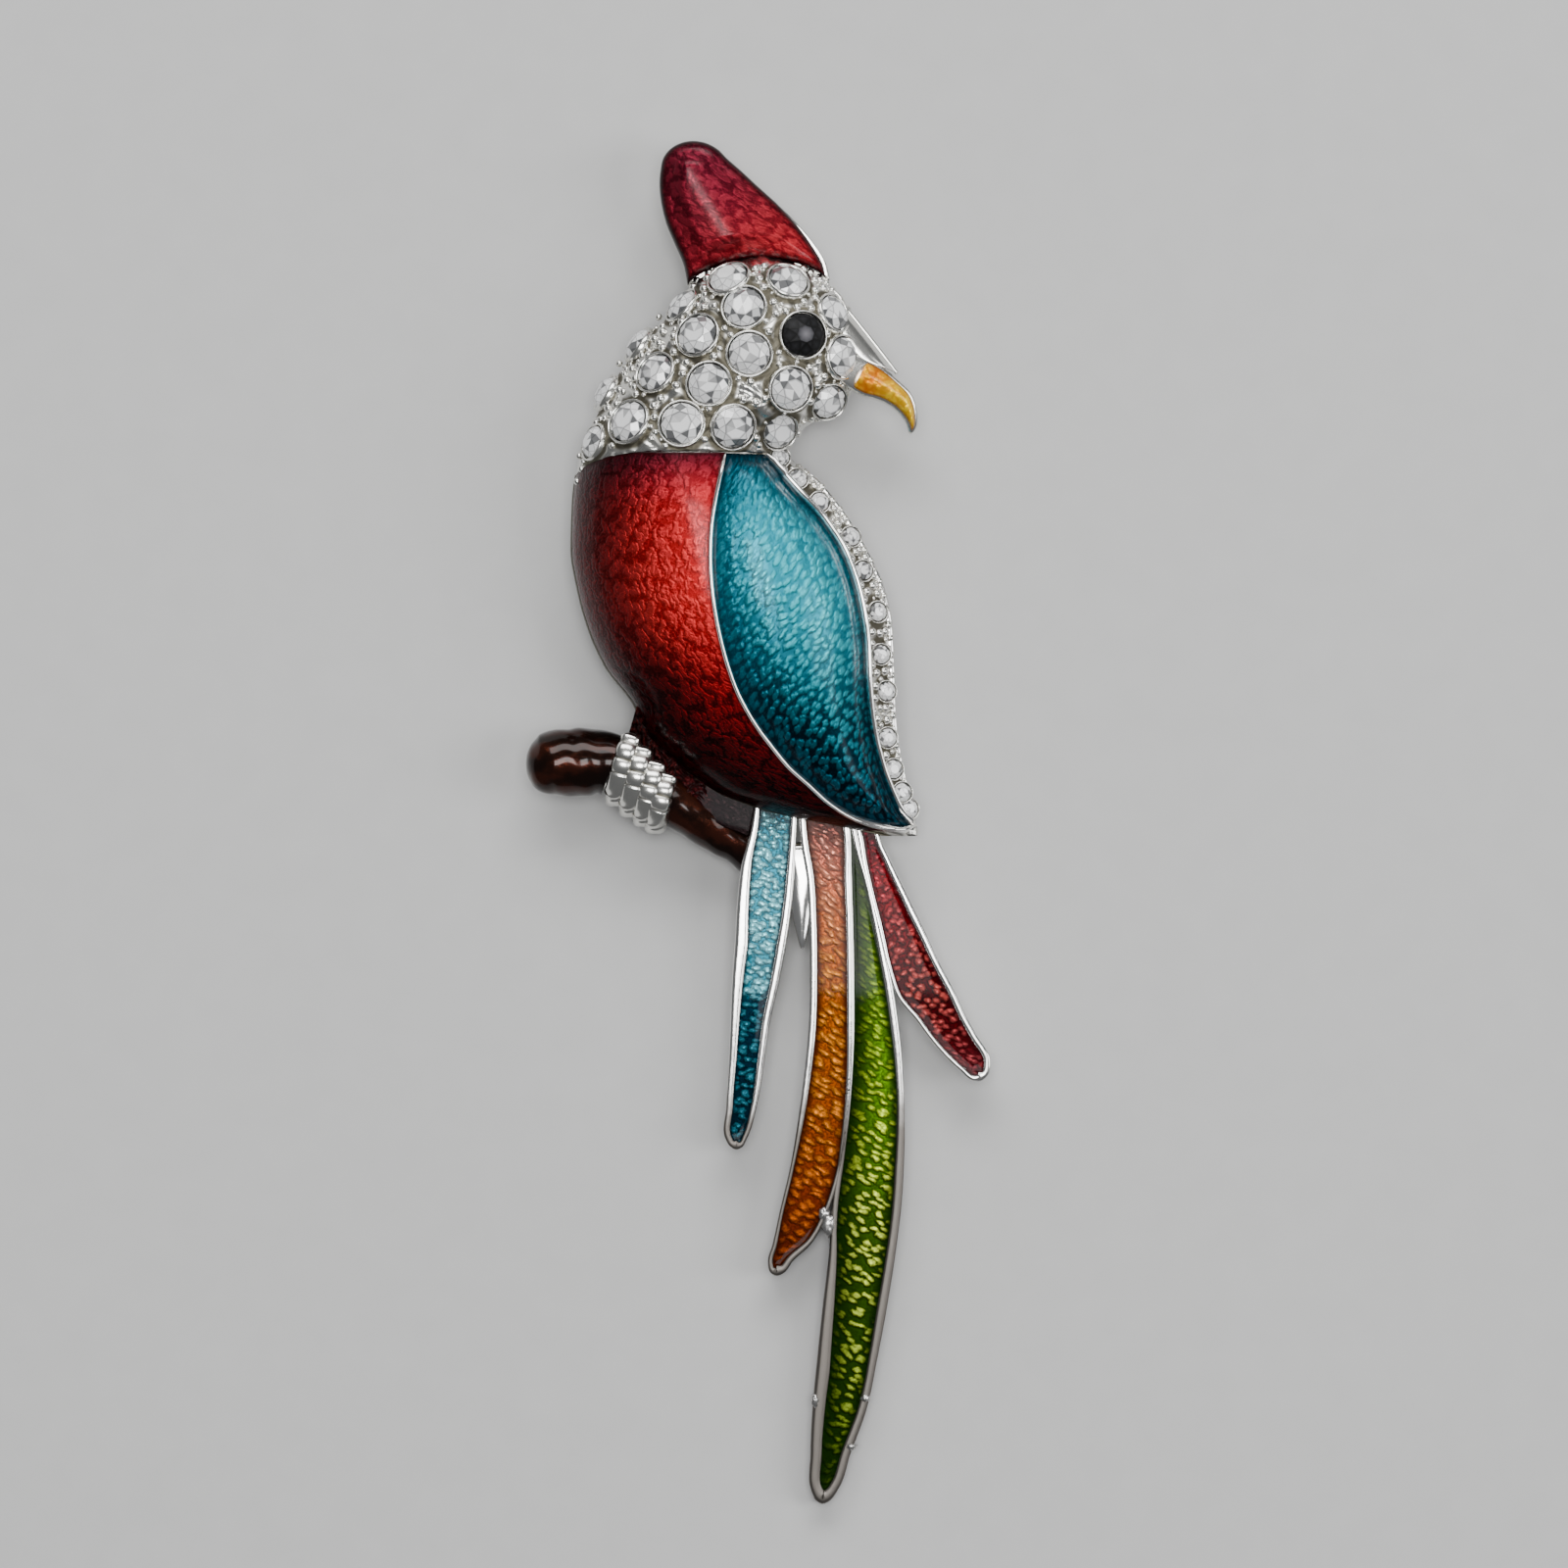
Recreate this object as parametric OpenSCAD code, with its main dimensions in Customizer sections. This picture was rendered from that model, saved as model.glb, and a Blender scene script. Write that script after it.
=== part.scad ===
/* [Overall] */
// Length from crest tip to green tail tip (mm)
overall_length = 86.1; // [76:0.1:96]
// Width from branch stub to red tail tip (mm)
overall_width = 29.4; // [26:0.1:33]
// Height of the flat back of the body above the surface it lies on (mm)
back_height = 3; // [2.8:0.1:3.4]

/* [Body] */
// Rise of the body dome over its flat back (mm)
body_rise = 6.2; // [5.8:0.1:7]
// Wall of the hollow body casting (mm)
body_wall = 1.4; // [1.2:0.1:1.6]
// Height of the bare metal lip round the back edge of the body (mm)
lip_rise = 1; // [0.8:0.1:1.2]
// Depth of the sunk floors the enamel lies on (mm)
enamel_depth = 0.55; // [0.45:0.05:0.7]
// Extra rise of the wing at its middle (mm)
wing_swell = 0.5; // [0.2:0.1:0.8]

/* [Rims] */
// Width of the polished metal rims (mm)
rim_width = 0.45; // [0.4:0.05:0.55]
// Height of the wing rims over the enamel beside them (mm)
rim_proud = 0.25; // [0.1:0.05:0.4]

/* [Tail] */
// Thickness of a tail feather at its rims (mm)
feather_thick = 1.7; // [1.5:0.1:2]
// Depth of a feather trough under its rims (mm)
feather_depth = 0.65; // [0.6:0.01:0.68]
// Level of the feather rims over the flat back at the root (mm)
root_level = 0.7; // [0.6:0.05:0.75]

/* [Crest and beak] */
// Thickness of the crest backing plate (mm)
crest_plate = 0.9; // [0.7:0.1:1.1]
// Height of the upright crest enamel edge (mm)
crest_edge = 0.9; // [0.7:0.1:1.2]
// Further rise of the crest enamel at its middle (mm)
crest_swell = 0.7; // [0.4:0.1:1]
// Rise of the beak over the flat back at the face (mm)
beak_rise = 3.1; // [2.8:0.1:3.4]
// Thickness of the beak at the face (mm)
beak_thick = 2.5; // [2.2:0.1:2.6]

/* [Branch and feet] */
// Height of the branch middle over the flat back (mm)
branch_level = 0.3; // [0:0.1:0.6]
// Thickness of a toe (mm)
toe_size = 1.35; // [1.2:0.05:1.4]

/* [Stones] */
// Girdle of a full size head stone (mm)
stone_size = 2.65; // [2.4:0.05:2.7]
// Girdle of the black eye stone (mm)
eye_size = 2.7; // [2.5:0.05:2.8]
// Girdle of a stone in the back row (mm)
back_stone_size = 1.15; // [1:0.05:1.25]
// Table of a stone as a share of its girdle
table_share = 0.56; // [0.45:0.01:0.65]
// Crown height of a stone as a share of its girdle
crown_share = 0.2; // [0.15:0.01:0.25]
// Depth of a stone below its girdle as a share of its girdle
pavilion_share = 0.3; // [0.25:0.01:0.35]
// Width of the bezel ring round a stone (mm)
bezel_width = 0.26; // [0.2:0.02:0.3]
// Size of the round grains between the stones (mm)
grain_size = 0.55; // [0.4:0.05:0.7]

/* [Pin] */
// Length of the pin plate across the back (mm)
pin_length = 16; // [15:0.1:16.5]
// Height of the pin on the bird over the tail root (mm)
pin_place = 19; // [17:0.1:20]
// Width of the pin plate (mm)
pin_width = 2.4; // [2:0.1:3]
// Thickness of the pin plate (mm)
pin_plate = 0.8; // [0.6:0.1:1]
// Thickness of the pin stem (mm)
stem_size = 0.8; // [0.7:0.05:0.9]

/* [Fit] */
// Gap between a set piece and the metal beside it (mm)
side_gap = 0.06; // [0.05:0.01:0.1]
// Gap between a set piece and the metal floor under it (mm)
floor_gap = 0.12; // [0.1:0.01:0.14]

/* [Hidden] */

// body stations from rump to crown: place along the length, left side, right side (thousandths
// of the length and width, from the middle) and share of the full rise
body_rows = [
    [-9, 266, 342, 0.28], [-4, 198, 342, 0.33], [1, 125, 339, 0.37], [7, 38, 335, 0.42],
    [14, -31, 330, 0.47], [22, -93, 325, 0.52], [32, -138, 318, 0.575], [43, -181, 310, 0.63],
    [54, -214, 305, 0.685], [65, -245, 300, 0.74], [87, -270, 295, 0.83], [115, -331, 293, 0.92],
    [144, -369, 289, 0.97], [173, -392, 272, 1], [202, -405, 234, 1], [231, -403, 181, 0.98],
    [253, -397, 127, 0.95], [272, -380, 66, 0.92], [289, -363, 93, 0.91], [303, -344, 160, 0.91],
    [317, -323, 198, 0.9], [339, -281, 222, 0.87], [357, -241, 217, 0.84], [375, -192, 198, 0.79],
    [390, -156, 167, 0.72], [398, -137, 143, 0.64], [407, -99, 110, 0.5], [414, -46, 59, 0.32],
    [417, -13, 30, 0.2]];
// wing rims: place along the length, place across (thousandths)
wing_left = [[-7, 373], [-4, 321], [-2, 283], [1, 234], [8, 186], [18, 143], [29, 108], [43, 63], [58, 27],
    [76, -11], [101, -49], [130, -76], [159, -93], [188, -101], [216, -99], [245, -86], [270, -70],
    [280, -63]];
wing_right = [[-7, 344], [-4, 335], [9, 308], [25, 285], [47, 262], [72, 245], [101, 236], [133, 232],
    [166, 217], [195, 190], [220, 146], [245, 80], [270, 17], [280, -8]];
// stations shared by the rims and the enamel beside them
rim_keys = [-4, 1, 7, 14, 22, 32, 43, 54, 65, 87, 115, 144, 173, 202, 231, 253, 271];
// feather, crest and beak stations from the free end inward or upward:
// left point across and along, right point across and along (thousandths)
blue_rows = [[-59, -238, -36, -238], [-72, -231, -24, -231], [-70, -209, -4, -209],
    [-65, -180, 11, -180], [-61, -148, 25, -148], [-57, -115, 46, -115], [-51, -87, 61, -87],
    [-46, -58, 72, -58], [-36, -29, 78, -29], [-17, -4, 82, -4], [-8, 14, 84, 14]];
orange_rows = [[27, -331, 53, -331], [20, -323, 74, -322], [30, -310, 114, -309],
    [46, -285, 148, -287], [68, -253, 179, -253], [86, -216, 196, -216], [99, -180, 203, -180],
    [108, -144, 204, -144], [110, -108, 204, -108], [108, -72, 202, -72], [103, -40, 198, -40],
    [91, -14, 198, -16], [86, 12, 192, 8]];
green_rows = [[127, -500, 150, -500], [113, -491, 175, -489], [112, -465, 198, -465],
    [116, -433, 232, -433], [127, -393, 257, -393], [139, -354, 278, -354], [152, -317, 295, -317],
    [158, -281, 308, -281], [172, -245, 314, -245], [186, -202, 314, -202], [193, -159, 306, -159],
    [193, -115, 287, -115], [191, -79, 264, -79], [188, -43, 238, -43], [186, -14, 217, -16],
    [184, 5, 207, 2]];
red_rows = [[462, -189, 494, -185], [432, -181, 500, -175], [373, -160, 468, -154],
    [338, -144, 447, -141], [300, -128, 424, -124], [276, -105, 390, -102], [257, -79, 352, -74],
    [238, -54, 316, -49], [221, -29, 283, -26], [214, -14, 264, -12], [208, -3, 256, -2]];
// rows where the enamel of the beak ends at the face and that of the feathers against the body
beak_end = [224, 314, 250, 335];
blue_end = [-12, 9, 83, 2];
orange_end = [89, 1, 194, -7];
green_end = [188, -9, 211, -11];
red_end = [212, -10, 260, -12];
crest_rows = [[-152, 395, 153, 399], [-162, 411, 146, 410], [-181, 426, 120, 425],
    [-198, 440, 84, 440], [-209, 455, 40, 455], [-213, 468, -2, 468], [-211, 479, -40, 480],
    [-204, 489, -70, 489], [-190, 495, -84, 494], [-162, 500, -118, 500]];
// bulge of each crest row over the crown (mm) and share of the full swell it has
crest_lift = [1.9, 1.3, 0.8, 0.3, 0, 0, 0, 0, 0, 0];
crest_fall = [0.5, 0.8, 0.95, 1, 1, 1, 0.9, 0.7, 0.4, 0];
beak_rows = [[327, 286, 338, 289], [316, 294, 342, 301], [291, 304, 329, 315], [259, 310, 300, 325],
    [226, 313, 262, 335], [172, 324, 196, 344]];
// branch stations from the stub end: across, along, radius (thousandths, radius of the width) and
// turn of the section in the plan (degrees), where the ends beside the toes slant with them
branch_rows = [[-500, 44, 18, 0], [-490, 44, 48, 0], [-468, 44, 64, 0], [-440, 45, 71, 0],
    [-409, 45, 72, 0], [-324, 44, 69, 14], [-308, 42, 68, -6], [-251, 32, 63, 0], [-194, 20, 56, -16],
    [-181, 17, 55, -16], [-110, 0, 51, 0], [-39, -15, 47, -26], [-4, -26, 45, 0]];
// head stones: across, along (thousandths), size as a share of the full size, lean toward upright
stone_rows = [[-63, 398, 0.91, 0], [63, 396, 0.91, 0], [-30, 376, 0.95, 0], [-163, 379, 0.84, 0],
    [160, 373, 0.84, 0], [-129, 356, 0.96, 0], [-257, 351, 0.84, 0], [-19, 342, 0.97, 0],
    [178, 341, 0.93, 0], [-219, 329, 0.91, 0], [-105, 320, 0.96, 0], [68, 317, 0.98, 0],
    [150, 309, 0.82, 0.4], [-327, 316, 0.82, 0], [-276, 293, 0.98, 0], [-163, 291, 0.98, 0],
    [-54, 289, 0.98, 0], [44, 287, 0.82, 0.4], [-352, 279, 0.78, 0]];
eye_place = [94, 356];
// back row stones: across, along (thousandths)
back_rows = [[46, 268], [84, 252], [131, 235], [198, 210], [224, 185], [255, 155], [262, 124],
    [274, 97], [276, 63], [289, 40], [308, 23], [323, 11]];
// round grains on the head: across, along (thousandths)
grain_rows = [[-114, 387], [17, 366], [-72, 361], [44, 343], [-42, 324], [124, 328], [-105, 302],
    [-219, 285], [-197, 371], [-280, 338], [-329, 296], [-312, 276], [-379, 268], [-198, 275]];
back_grain_rows = [[264, 172], [245, 144], [271, 133], [252, 113]];
// smooth plate from the crest down to the top of the beak: across, along (thousandths)
brow_plate = [[158, 385], [177, 389], [186, 379], [207, 370], [249, 352], [298, 330], [276, 334],
    [215, 342], [190, 352], [150, 376]];
// toes: start, knuckle over the branch, end (thousandths), height of the knuckle (mm)
toe_rows = [[-268, 66, -286, 50, -306, 22], [-244, 57, -258, 40, -276, 14],
    [-216, 46, -230, 29, -246, 7], [-192, 37, -207, 19, -221, 2]];
// plate of the leg between the body and the branch: across, along (thousandths)
leg_plate = [[-262, 76], [-172, 44.5], [-142, 36.5], [-112, 29.3], [-79, 18.3], [-45, 10.2], [-20, 4.6],
    [-20, 17.6], [-60, 36.6], [-140, 60.7], [-215, 85.4]];
// plate joining the roots of the blue and the orange feather: across, along (thousandths)
web_plate = [[76, -20], [79, -68], [98, -90], [106, -60], [98, -20]];
// stations where the body starts and ends and where its hollow does, and those of the collar
rump_end = -9;
crown_end = 417;
hollow_start = 26;
hollow_end = 396;
lip_end = 256;
collar_place = 271;
collar_dip = 18;
collar_gap = 1.6;
// station of the end rim of a feather between its tip and the next row
end_share = 0.9;
// level of the enamel under the rims of a feather and its rise in the middle (mm)
enamel_drop = 0.1;
feather_crown = 0.08;
beak_crown = 0.35;
// margin of the crest enamel inside its plate and length of the plate under the crown (mm)
crest_margin = 0.04;
crest_tuck = 2;
// girdles over the body skin, lean of their axes toward upright, height and depth of their bezels (mm)
stone_lift = 0.12;
stone_proud = 0.06;
stone_deep = 0.8;
eye_lift = 0.2;
eye_lean = 0.2;
eye_proud = 0.1;
eye_deep = 0.9;
back_lift = 0.1;
back_lean = 0.6;
back_proud = 0.04;
back_deep = 0.6;
girdle_share = 0.02;
culet_share = 0.12;
small_culet_share = 0.2;
// heights of the start, the end and the knuckle of a toe over the middle of the branch (mm)
toe_start_rise = 1.6;
toe_end_rise = 1;
toe_over_rise = 0.1;
knuckle_rise = 0.4;
// brow plate over the flat back, its thickness (mm)
brow_level = 1.1;
brow_thick = 1.5;
// leg plate between the body and the branch: its height over the flat back, its thickness (mm)
leg_lift = 0.1;
leg_thick = 0.63;
// drop of the branch toward the tail, over a quarter of the width (mm)
branch_drop = 1.25;
// pads the pin plate is fixed to, and how far they run into the body's wall (mm)
pad_length = 2.4;
pad_width = 3.2;
pad_height = 1.4;
pad_grip = 0.56;
// depth the bare skin and the rims run into the body under the floors (mm)
skin_root = 0.4;
rim_root = 0.5;
// steps round the surfaces
dome_steps = 15;
hood_steps = 17;
hollow_steps = 10;
hood_rows = 8;
breast_steps = 7;
wing_steps = 6;
enamel_rows = len(rim_keys) - 1;
crest_steps = 8;
sleeve_steps = 8;
core_steps = 10;

function mm_x(s) = s * overall_width / 1000;
function mm_y(s) = s * overall_length / 1000;
function mix(a, b, f) = a + (b - a) * f;
function flat(p) = [mm_x(p[0]), mm_y(p[1])];

body_left = [for (r = body_rows) [r[0], r[1]]];
body_right = [for (r = body_rows) [r[0], r[2]]];
body_share = [for (r = body_rows) [r[0], r[3]]];

function mid_x(s) = mm_x(lookup(s, body_left) + lookup(s, body_right)) / 2;
function half_w(s) = mm_x(lookup(s, body_right) - lookup(s, body_left)) / 2;
function rise(s) = body_rise * lookup(s, body_share);
function skin(s, turn, inset) = [
    mid_x(s) + (half_w(s) - inset) * cos(turn),
    mm_y(s),
    back_height + (rise(s) - inset) * sin(turn)];
function turn_at(s, x) = acos(max(-0.985, min(0.985, (x - mid_x(s)) / half_w(s))));
function skin_z(p) = skin(p[1] * 1000 / overall_length, turn_at(p[1] * 1000 / overall_length, p[0]), 0)[2];
function unit(v) = v / norm(v);
function skin_normal(p, lean) =
    let (s = p[1] * 1000 / overall_length)
    let (t = turn_at(s, p[0]))
    let (across = skin(s, t - 1, 0) - skin(s, t + 1, 0))
    let (along = skin(s + 6, turn_at(s + 6, p[0]), 0) - skin(s - 6, turn_at(s - 6, p[0]), 0))
    unit(mix(unit(cross(across, along)), [0, 0, 1], lean));
function collar(turn) = collar_place - collar_dip * pow(max(0, (turn - 112) / 68), 1.6);
function lip_turn(s) = 180 - asin(min(0.98, lip_rise / rise(s)));
function rim_slope(table, s) =
    mm_x(lookup(s + 3, table) - lookup(s - 3, table)) / mm_y(6);
function beside(table, s, off) = mm_x(lookup(s, table)) + off * sqrt(1 + pow(rim_slope(table, s), 2));
function tail_level(y) =
    let (f = max(0, min(1, -y * 1000 / overall_length / 500)))
    mix(back_height + root_level, feather_thick, pow(f, 1.5));
function beak_level(i) = back_height + mix(1.2, beak_rise, min(1, i / 6));

half_rim = rim_width / 2;
rim_gap = side_gap + 0.13;
feather_rim = rim_width * 0.85;
beak_rim = rim_width / 3;
pin_mid = mid_x(pin_place * 1000 / overall_length);

// closed solid between two grids of the same size; rows run up the bird, columns to its right
module slab(upper, lower) {
    rows = len(upper);
    cols = len(upper[0]);
    n = rows * cols;
    points = concat([for (r = upper) each r], [for (r = lower) each r]);
    skin_faces = [for (i = [0:rows - 2]) for (j = [0:cols - 2])
        let (a = i * cols + j)
        each [[a, a + cols, a + cols + 1], [a, a + cols + 1, a + 1],
            [n + a, n + a + cols + 1, n + a + cols], [n + a, n + a + 1, n + a + cols + 1]]];
    side_faces = [for (i = [0:rows - 2])
        let (a = i * cols)
        let (b = a + cols - 1)
        each [[a, n + a, n + a + cols], [a, n + a + cols, a + cols],
            [b, n + b + cols, n + b], [b, b + cols, n + b + cols]]];
    end_faces = [for (j = [0:cols - 2])
        let (b = (rows - 1) * cols + j)
        each [[j, n + j + 1, n + j], [j, j + 1, n + j + 1],
            [b, n + b, n + b + 1], [b, n + b + 1, b + 1]]];
    polyhedron(points = points, faces = concat(skin_faces, side_faces, end_faces), convexity = 6);
}

// solid half dome over the flat back, from one station to another
module dome(first, last, inset, sink, steps) {
    stations = concat([first], [for (r = body_rows) if (r[0] > first + 2 && r[0] < last - 2) r[0]], [last]);
    cols = steps + 1;
    rows = len(stations);
    points = [for (s = stations) for (j = [0:steps])
        skin(s, 180 - 180 * j / steps, inset) - [0, 0, sink]];
    skin_faces = [for (i = [0:rows - 2]) for (j = [0:cols - 2])
        let (a = i * cols + j)
        each [[a, a + cols, a + cols + 1], [a, a + cols + 1, a + 1]]];
    base_faces = [for (i = [0:rows - 2])
        let (a = i * cols)
        each [[a, a + cols - 1, a + 2 * cols - 1], [a, a + 2 * cols - 1, a + cols]]];
    end_faces = [for (j = [1:cols - 2])
        let (b = (rows - 1) * cols)
        each [[0, j, j + 1], [b, b + j + 1, b + j]]];
    polyhedron(points = points, faces = concat(skin_faces, base_faces, end_faces), convexity = 6);
}

// part of the body skin between two turns, as a grid
function hood_grid(inset) = [for (i = [0:hood_rows]) [for (j = [0:hood_steps])
    let (t = 180 - 180 * j / hood_steps)
    skin(mix(collar(t), crown_end, pow(i / hood_rows, 0.8)), t, inset)]];
function breast_grid(inset) = [for (i = [0:enamel_rows]) [for (j = [0:breast_steps])
    let (top = collar(mix(171, 66, j / breast_steps)) - collar_gap)
    let (s = i == enamel_rows ? top : min(top - 3, rim_keys[i]))
    let (a = lip_turn(s) - side_gap * 75 / rise(s))
    let (b = turn_at(s, beside(wing_left, s, -half_rim - rim_gap)))
    skin(s, mix(a, min(a - 3, b), j / breast_steps), inset)]];
function wing_grid(inset, swell) = [for (i = [1:enamel_rows]) [for (j = [0:wing_steps])
    let (s = i == enamel_rows ? collar_place - collar_gap : rim_keys[i])
    let (a = turn_at(s, beside(wing_left, s, half_rim + rim_gap)))
    let (b = turn_at(s, beside(wing_right, s, -half_rim - rim_gap)))
    skin(s, mix(a, b, j / wing_steps), inset - swell * sin(180 * j / wing_steps))]];
function band_grid(inset) = [for (i = [-1:enamel_rows]) [for (j = [0:3])
    let (s = i < 0 ? rump_end : rim_keys[i])
    skin(s, mix(turn_at(s, beside(wing_right, s, side_gap)), 0, j / 3), inset)]];
function lip_grid(inset) = [for (i = [-1:enamel_rows - 1]) [for (j = [0:1])
    let (s = i < 0 ? rump_end : i == enamel_rows - 1 ? lip_end : rim_keys[i])
    skin(s, mix(180, lip_turn(s), j), inset)]];

// raised metal line on the body skin along a table of places
module skin_rib(path, width, proud, sunk) {
    last = len(path) - 1;
    rows = [for (i = [0:last])
        let (p = flat(path[i]))
        let (d = unit(flat(path[min(last, i + 1)]) - flat(path[max(0, i - 1)])))
        let (across = [d[1], -d[0]] * width / 2)
        [p - across, p + across]];
    slab([for (r = rows) [for (p = r) [p[0], p[1], skin_z(p) + proud]]],
        [for (r = rows) [for (p = r) [p[0], p[1], max(back_height, skin_z(p) - sunk)]]]);
}

module wing_rim(table) {
    skin_rib([for (s = rim_keys) [lookup(s, table), s]], rim_width, rim_proud, enamel_depth + rim_root);
}

// stations of a feather with one more close behind the tip, where the end rim stops
function with_end(rows) = concat([rows[0], mix(rows[0], rows[1], end_share)],
    [for (i = [1:len(rows) - 1]) rows[i]]);
function row_left(r) = [mm_x(r[0]), mm_y(r[1])];
function row_right(r) = [mm_x(r[2]), mm_y(r[3])];

// trough with a rim on both sides and at its free end
module tray(rows, levels, thick, depth, rim) {
    n = len(rows);
    rings = [for (i = [0:n - 1])
        let (a = row_left(rows[i]))
        let (b = row_right(rows[i]))
        let (side = min(rim, norm(b - a) * 0.4))
        let (c = a + unit(b - a) * side)
        let (d = b - unit(b - a) * side)
        let (top = levels[i])
        let (deck = i == 0 ? top - 0.02 : top - depth)
        [[a[0], a[1], top - thick], [a[0], a[1], top], [c[0], c[1], top], [c[0], c[1], deck],
            [d[0], d[1], deck], [d[0], d[1], top], [b[0], b[1], top], [b[0], b[1], top - thick]]];
    walls = [for (i = [0:n - 2]) for (k = [0:7])
        let (p = i * 8 + k)
        let (q = i * 8 + (k + 1) % 8)
        each [[p, p + 8, q + 8], [p, q + 8, q]]];
    cap = [[0, 1, 2], [0, 2, 3], [0, 3, 4], [0, 4, 7], [4, 5, 6], [4, 6, 7]];
    last = [for (f = cap) [f[2] + 8 * (n - 1), f[1] + 8 * (n - 1), f[0] + 8 * (n - 1)]];
    polyhedron(points = [for (r = rings) each r], faces = concat(walls, cap, last), convexity = 8);
}

// enamel lying in such a trough, its top a little under the rims and slightly crowned
module fill(rows, levels, depth, rim, crown) {
    n = len(rows);
    edge = rim + side_gap * 1.6;
    grid = [for (i = [1:n - 1])
        let (a = row_left(rows[i]))
        let (b = row_right(rows[i]))
        let (side = min(edge, norm(b - a) * 0.4 + side_gap))
        let (c = a + unit(b - a) * side)
        let (d = b - unit(b - a) * side)
        let (back = i == 1 ? unit(row_left(rows[2]) + row_right(rows[2]) - a - b) * side_gap * 1.5 : [0, 0])
        [for (j = [0:4])
            let (p = mix(c, d, j / 4) + back)
            [p[0], p[1], levels[i] - enamel_drop + crown * sin(180 * j / 4)]]];
    slab(grid, [for (i = [0:n - 2]) [for (p = grid[i]) [p[0], p[1], levels[i + 1] - depth + floor_gap]]]);
}
function tail_levels(rows) = [for (r = rows) tail_level(mm_y((r[1] + r[3]) / 2))];

blue = with_end(blue_rows);
orange = with_end(orange_rows);
green = with_end(green_rows);
red = with_end(red_rows);
beak = with_end(beak_rows);
beak_levels = [for (i = [0:len(beak) - 1]) beak_level(i)];

module feather(rows) {
    tray(rows, tail_levels(rows), feather_thick, feather_depth, feather_rim);
}
module feather_fill(rows, end) {
    // the station close behind the end rim is left out, where the enamel ends anyway
    kept = concat([rows[0], rows[1]], [for (i = [3:len(rows) - 2]) rows[i]], [end]);
    fill(kept, tail_levels(kept), feather_depth, feather_rim, feather_crown);
}

// crest outline grid, pulled in from its outer edge by a margin
function crest_point(i, f, margin) =
    let (r = crest_rows[i])
    let (a = row_left(r))
    let (b = row_right(r))
    let (lift = crest_lift[i])
    let (c = a + unit(b - a) * margin)
    let (d = b - unit(b - a) * margin)
    mix(c, d, f) + [0, lift * pow(sin(180 * f), 0.65) - (i == len(crest_rows) - 1 ? margin : 0)];
function crest_grid(margin, level, swell, tuck) = [for (i = [0:len(crest_rows) - 1])
    [for (j = [0:crest_steps])
    let (p = crest_point(i, j / crest_steps, margin) - [0, i == 0 ? tuck : 0])
    [p[0], p[1], level + swell * pow(sin(180 * j / crest_steps), 0.7) * crest_fall[i]]]];

// branch section points round its upper side or all round
function branch_at(i, turn, shrink) =
    let (last = len(branch_rows) - 1)
    let (r = branch_rows[i])
    let (d = unit(flat(branch_rows[min(last, i + 1)]) - flat(branch_rows[max(0, i - 1)])))
    let (radius = max(0.05, mm_x(r[2]) - shrink))
    let (level = back_height + branch_level - branch_drop * max(0, r[0] + 251) / 250)
    let (side = [-d[1] * cos(r[3]) + d[0] * sin(r[3]), d[0] * cos(r[3]) + d[1] * sin(r[3])])
    let (out = side * radius * cos(turn))
    let (stub = shrink * max(0, (-440 - r[0]) / 60))
    [mm_x(r[0]) + out[0] + stub, mm_y(r[1]) + out[1], level + radius * sin(turn)];
// metal of the branch, bare and full size under the toes
module branch_core() {
    n = len(branch_rows);
    ring = core_steps;
    points = [for (i = [0:n - 1]) for (k = [0:ring - 1])
        branch_at(i, k * 360 / ring, i > 5 && i < 9 ? side_gap : enamel_depth)];
    walls = [for (i = [0:n - 2]) for (k = [0:ring - 1])
        let (p = i * ring + k)
        let (q = i * ring + (k + 1) % ring)
        each [[p, p + ring, q + ring], [p, q + ring, q]]];
    caps = [for (k = [1:ring - 2]) each [[0, k, k + 1],
        [(n - 1) * ring, (n - 1) * ring + k + 1, (n - 1) * ring + k]]];
    polyhedron(points = points, faces = concat(walls, caps), convexity = 4);
}
module branch_sleeve(first, last) {
    turns = [for (k = [0:sleeve_steps]) mix(-18, 198, k / sleeve_steps)];
    slab([for (i = [first:last]) [for (t = turns) branch_at(i, t, 0)]],
        [for (i = [first:last]) [for (t = turns) branch_at(i, t, enamel_depth - floor_gap)]]);
}

// brilliant with an eight sided table, its girdle in the plane z = 0
module brilliant(size) {
    hull() {
        translate([0, 0, size * crown_share]) rotate(22.5)
            cylinder(r = size * table_share / 2, h = 0.001, $fn = 8);
        translate([0, 0, -size * girdle_share]) cylinder(r = size / 2, h = size * 2 * girdle_share, $fn = 8);
        translate([0, 0, -size * pavilion_share]) cylinder(r = size * culet_share, h = 0.001, $fn = 8);
    }
}
// small brilliant with its table turned the same way as its girdle
module small_brilliant(size) {
    hull() {
        translate([0, 0, size * crown_share]) cylinder(r = size * table_share / 2, h = 0.001, $fn = 8);
        cylinder(r = size / 2, h = 0.001, $fn = 8);
        translate([0, 0, -size * pavilion_share]) cylinder(r = size * small_culet_share, h = 0.001, $fn = 8);
    }
}
module seat(size) {
    grown = size / 2 + side_gap * 1.1;
    shoulder = size * girdle_share + side_gap;
    depth = size * (pavilion_share - girdle_share);
    translate([0, 0, -shoulder]) cylinder(r = grown, h = size, $fn = 8);
    translate([0, 0, -shoulder - depth])
        cylinder(r1 = size * small_culet_share + side_gap, r2 = grown, h = depth + 0.001, $fn = 8);
}
module bezel(size, proud, deep, sides) {
    outer = size / 2 + bezel_width + side_gap;
    hull() {
        translate([0, 0, proud - 0.2]) cylinder(r = outer, h = 0.2, $fn = sides);
        translate([0, 0, -deep]) cylinder(r = outer * 0.85, h = 0.1, $fn = sides);
    }
}
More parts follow.
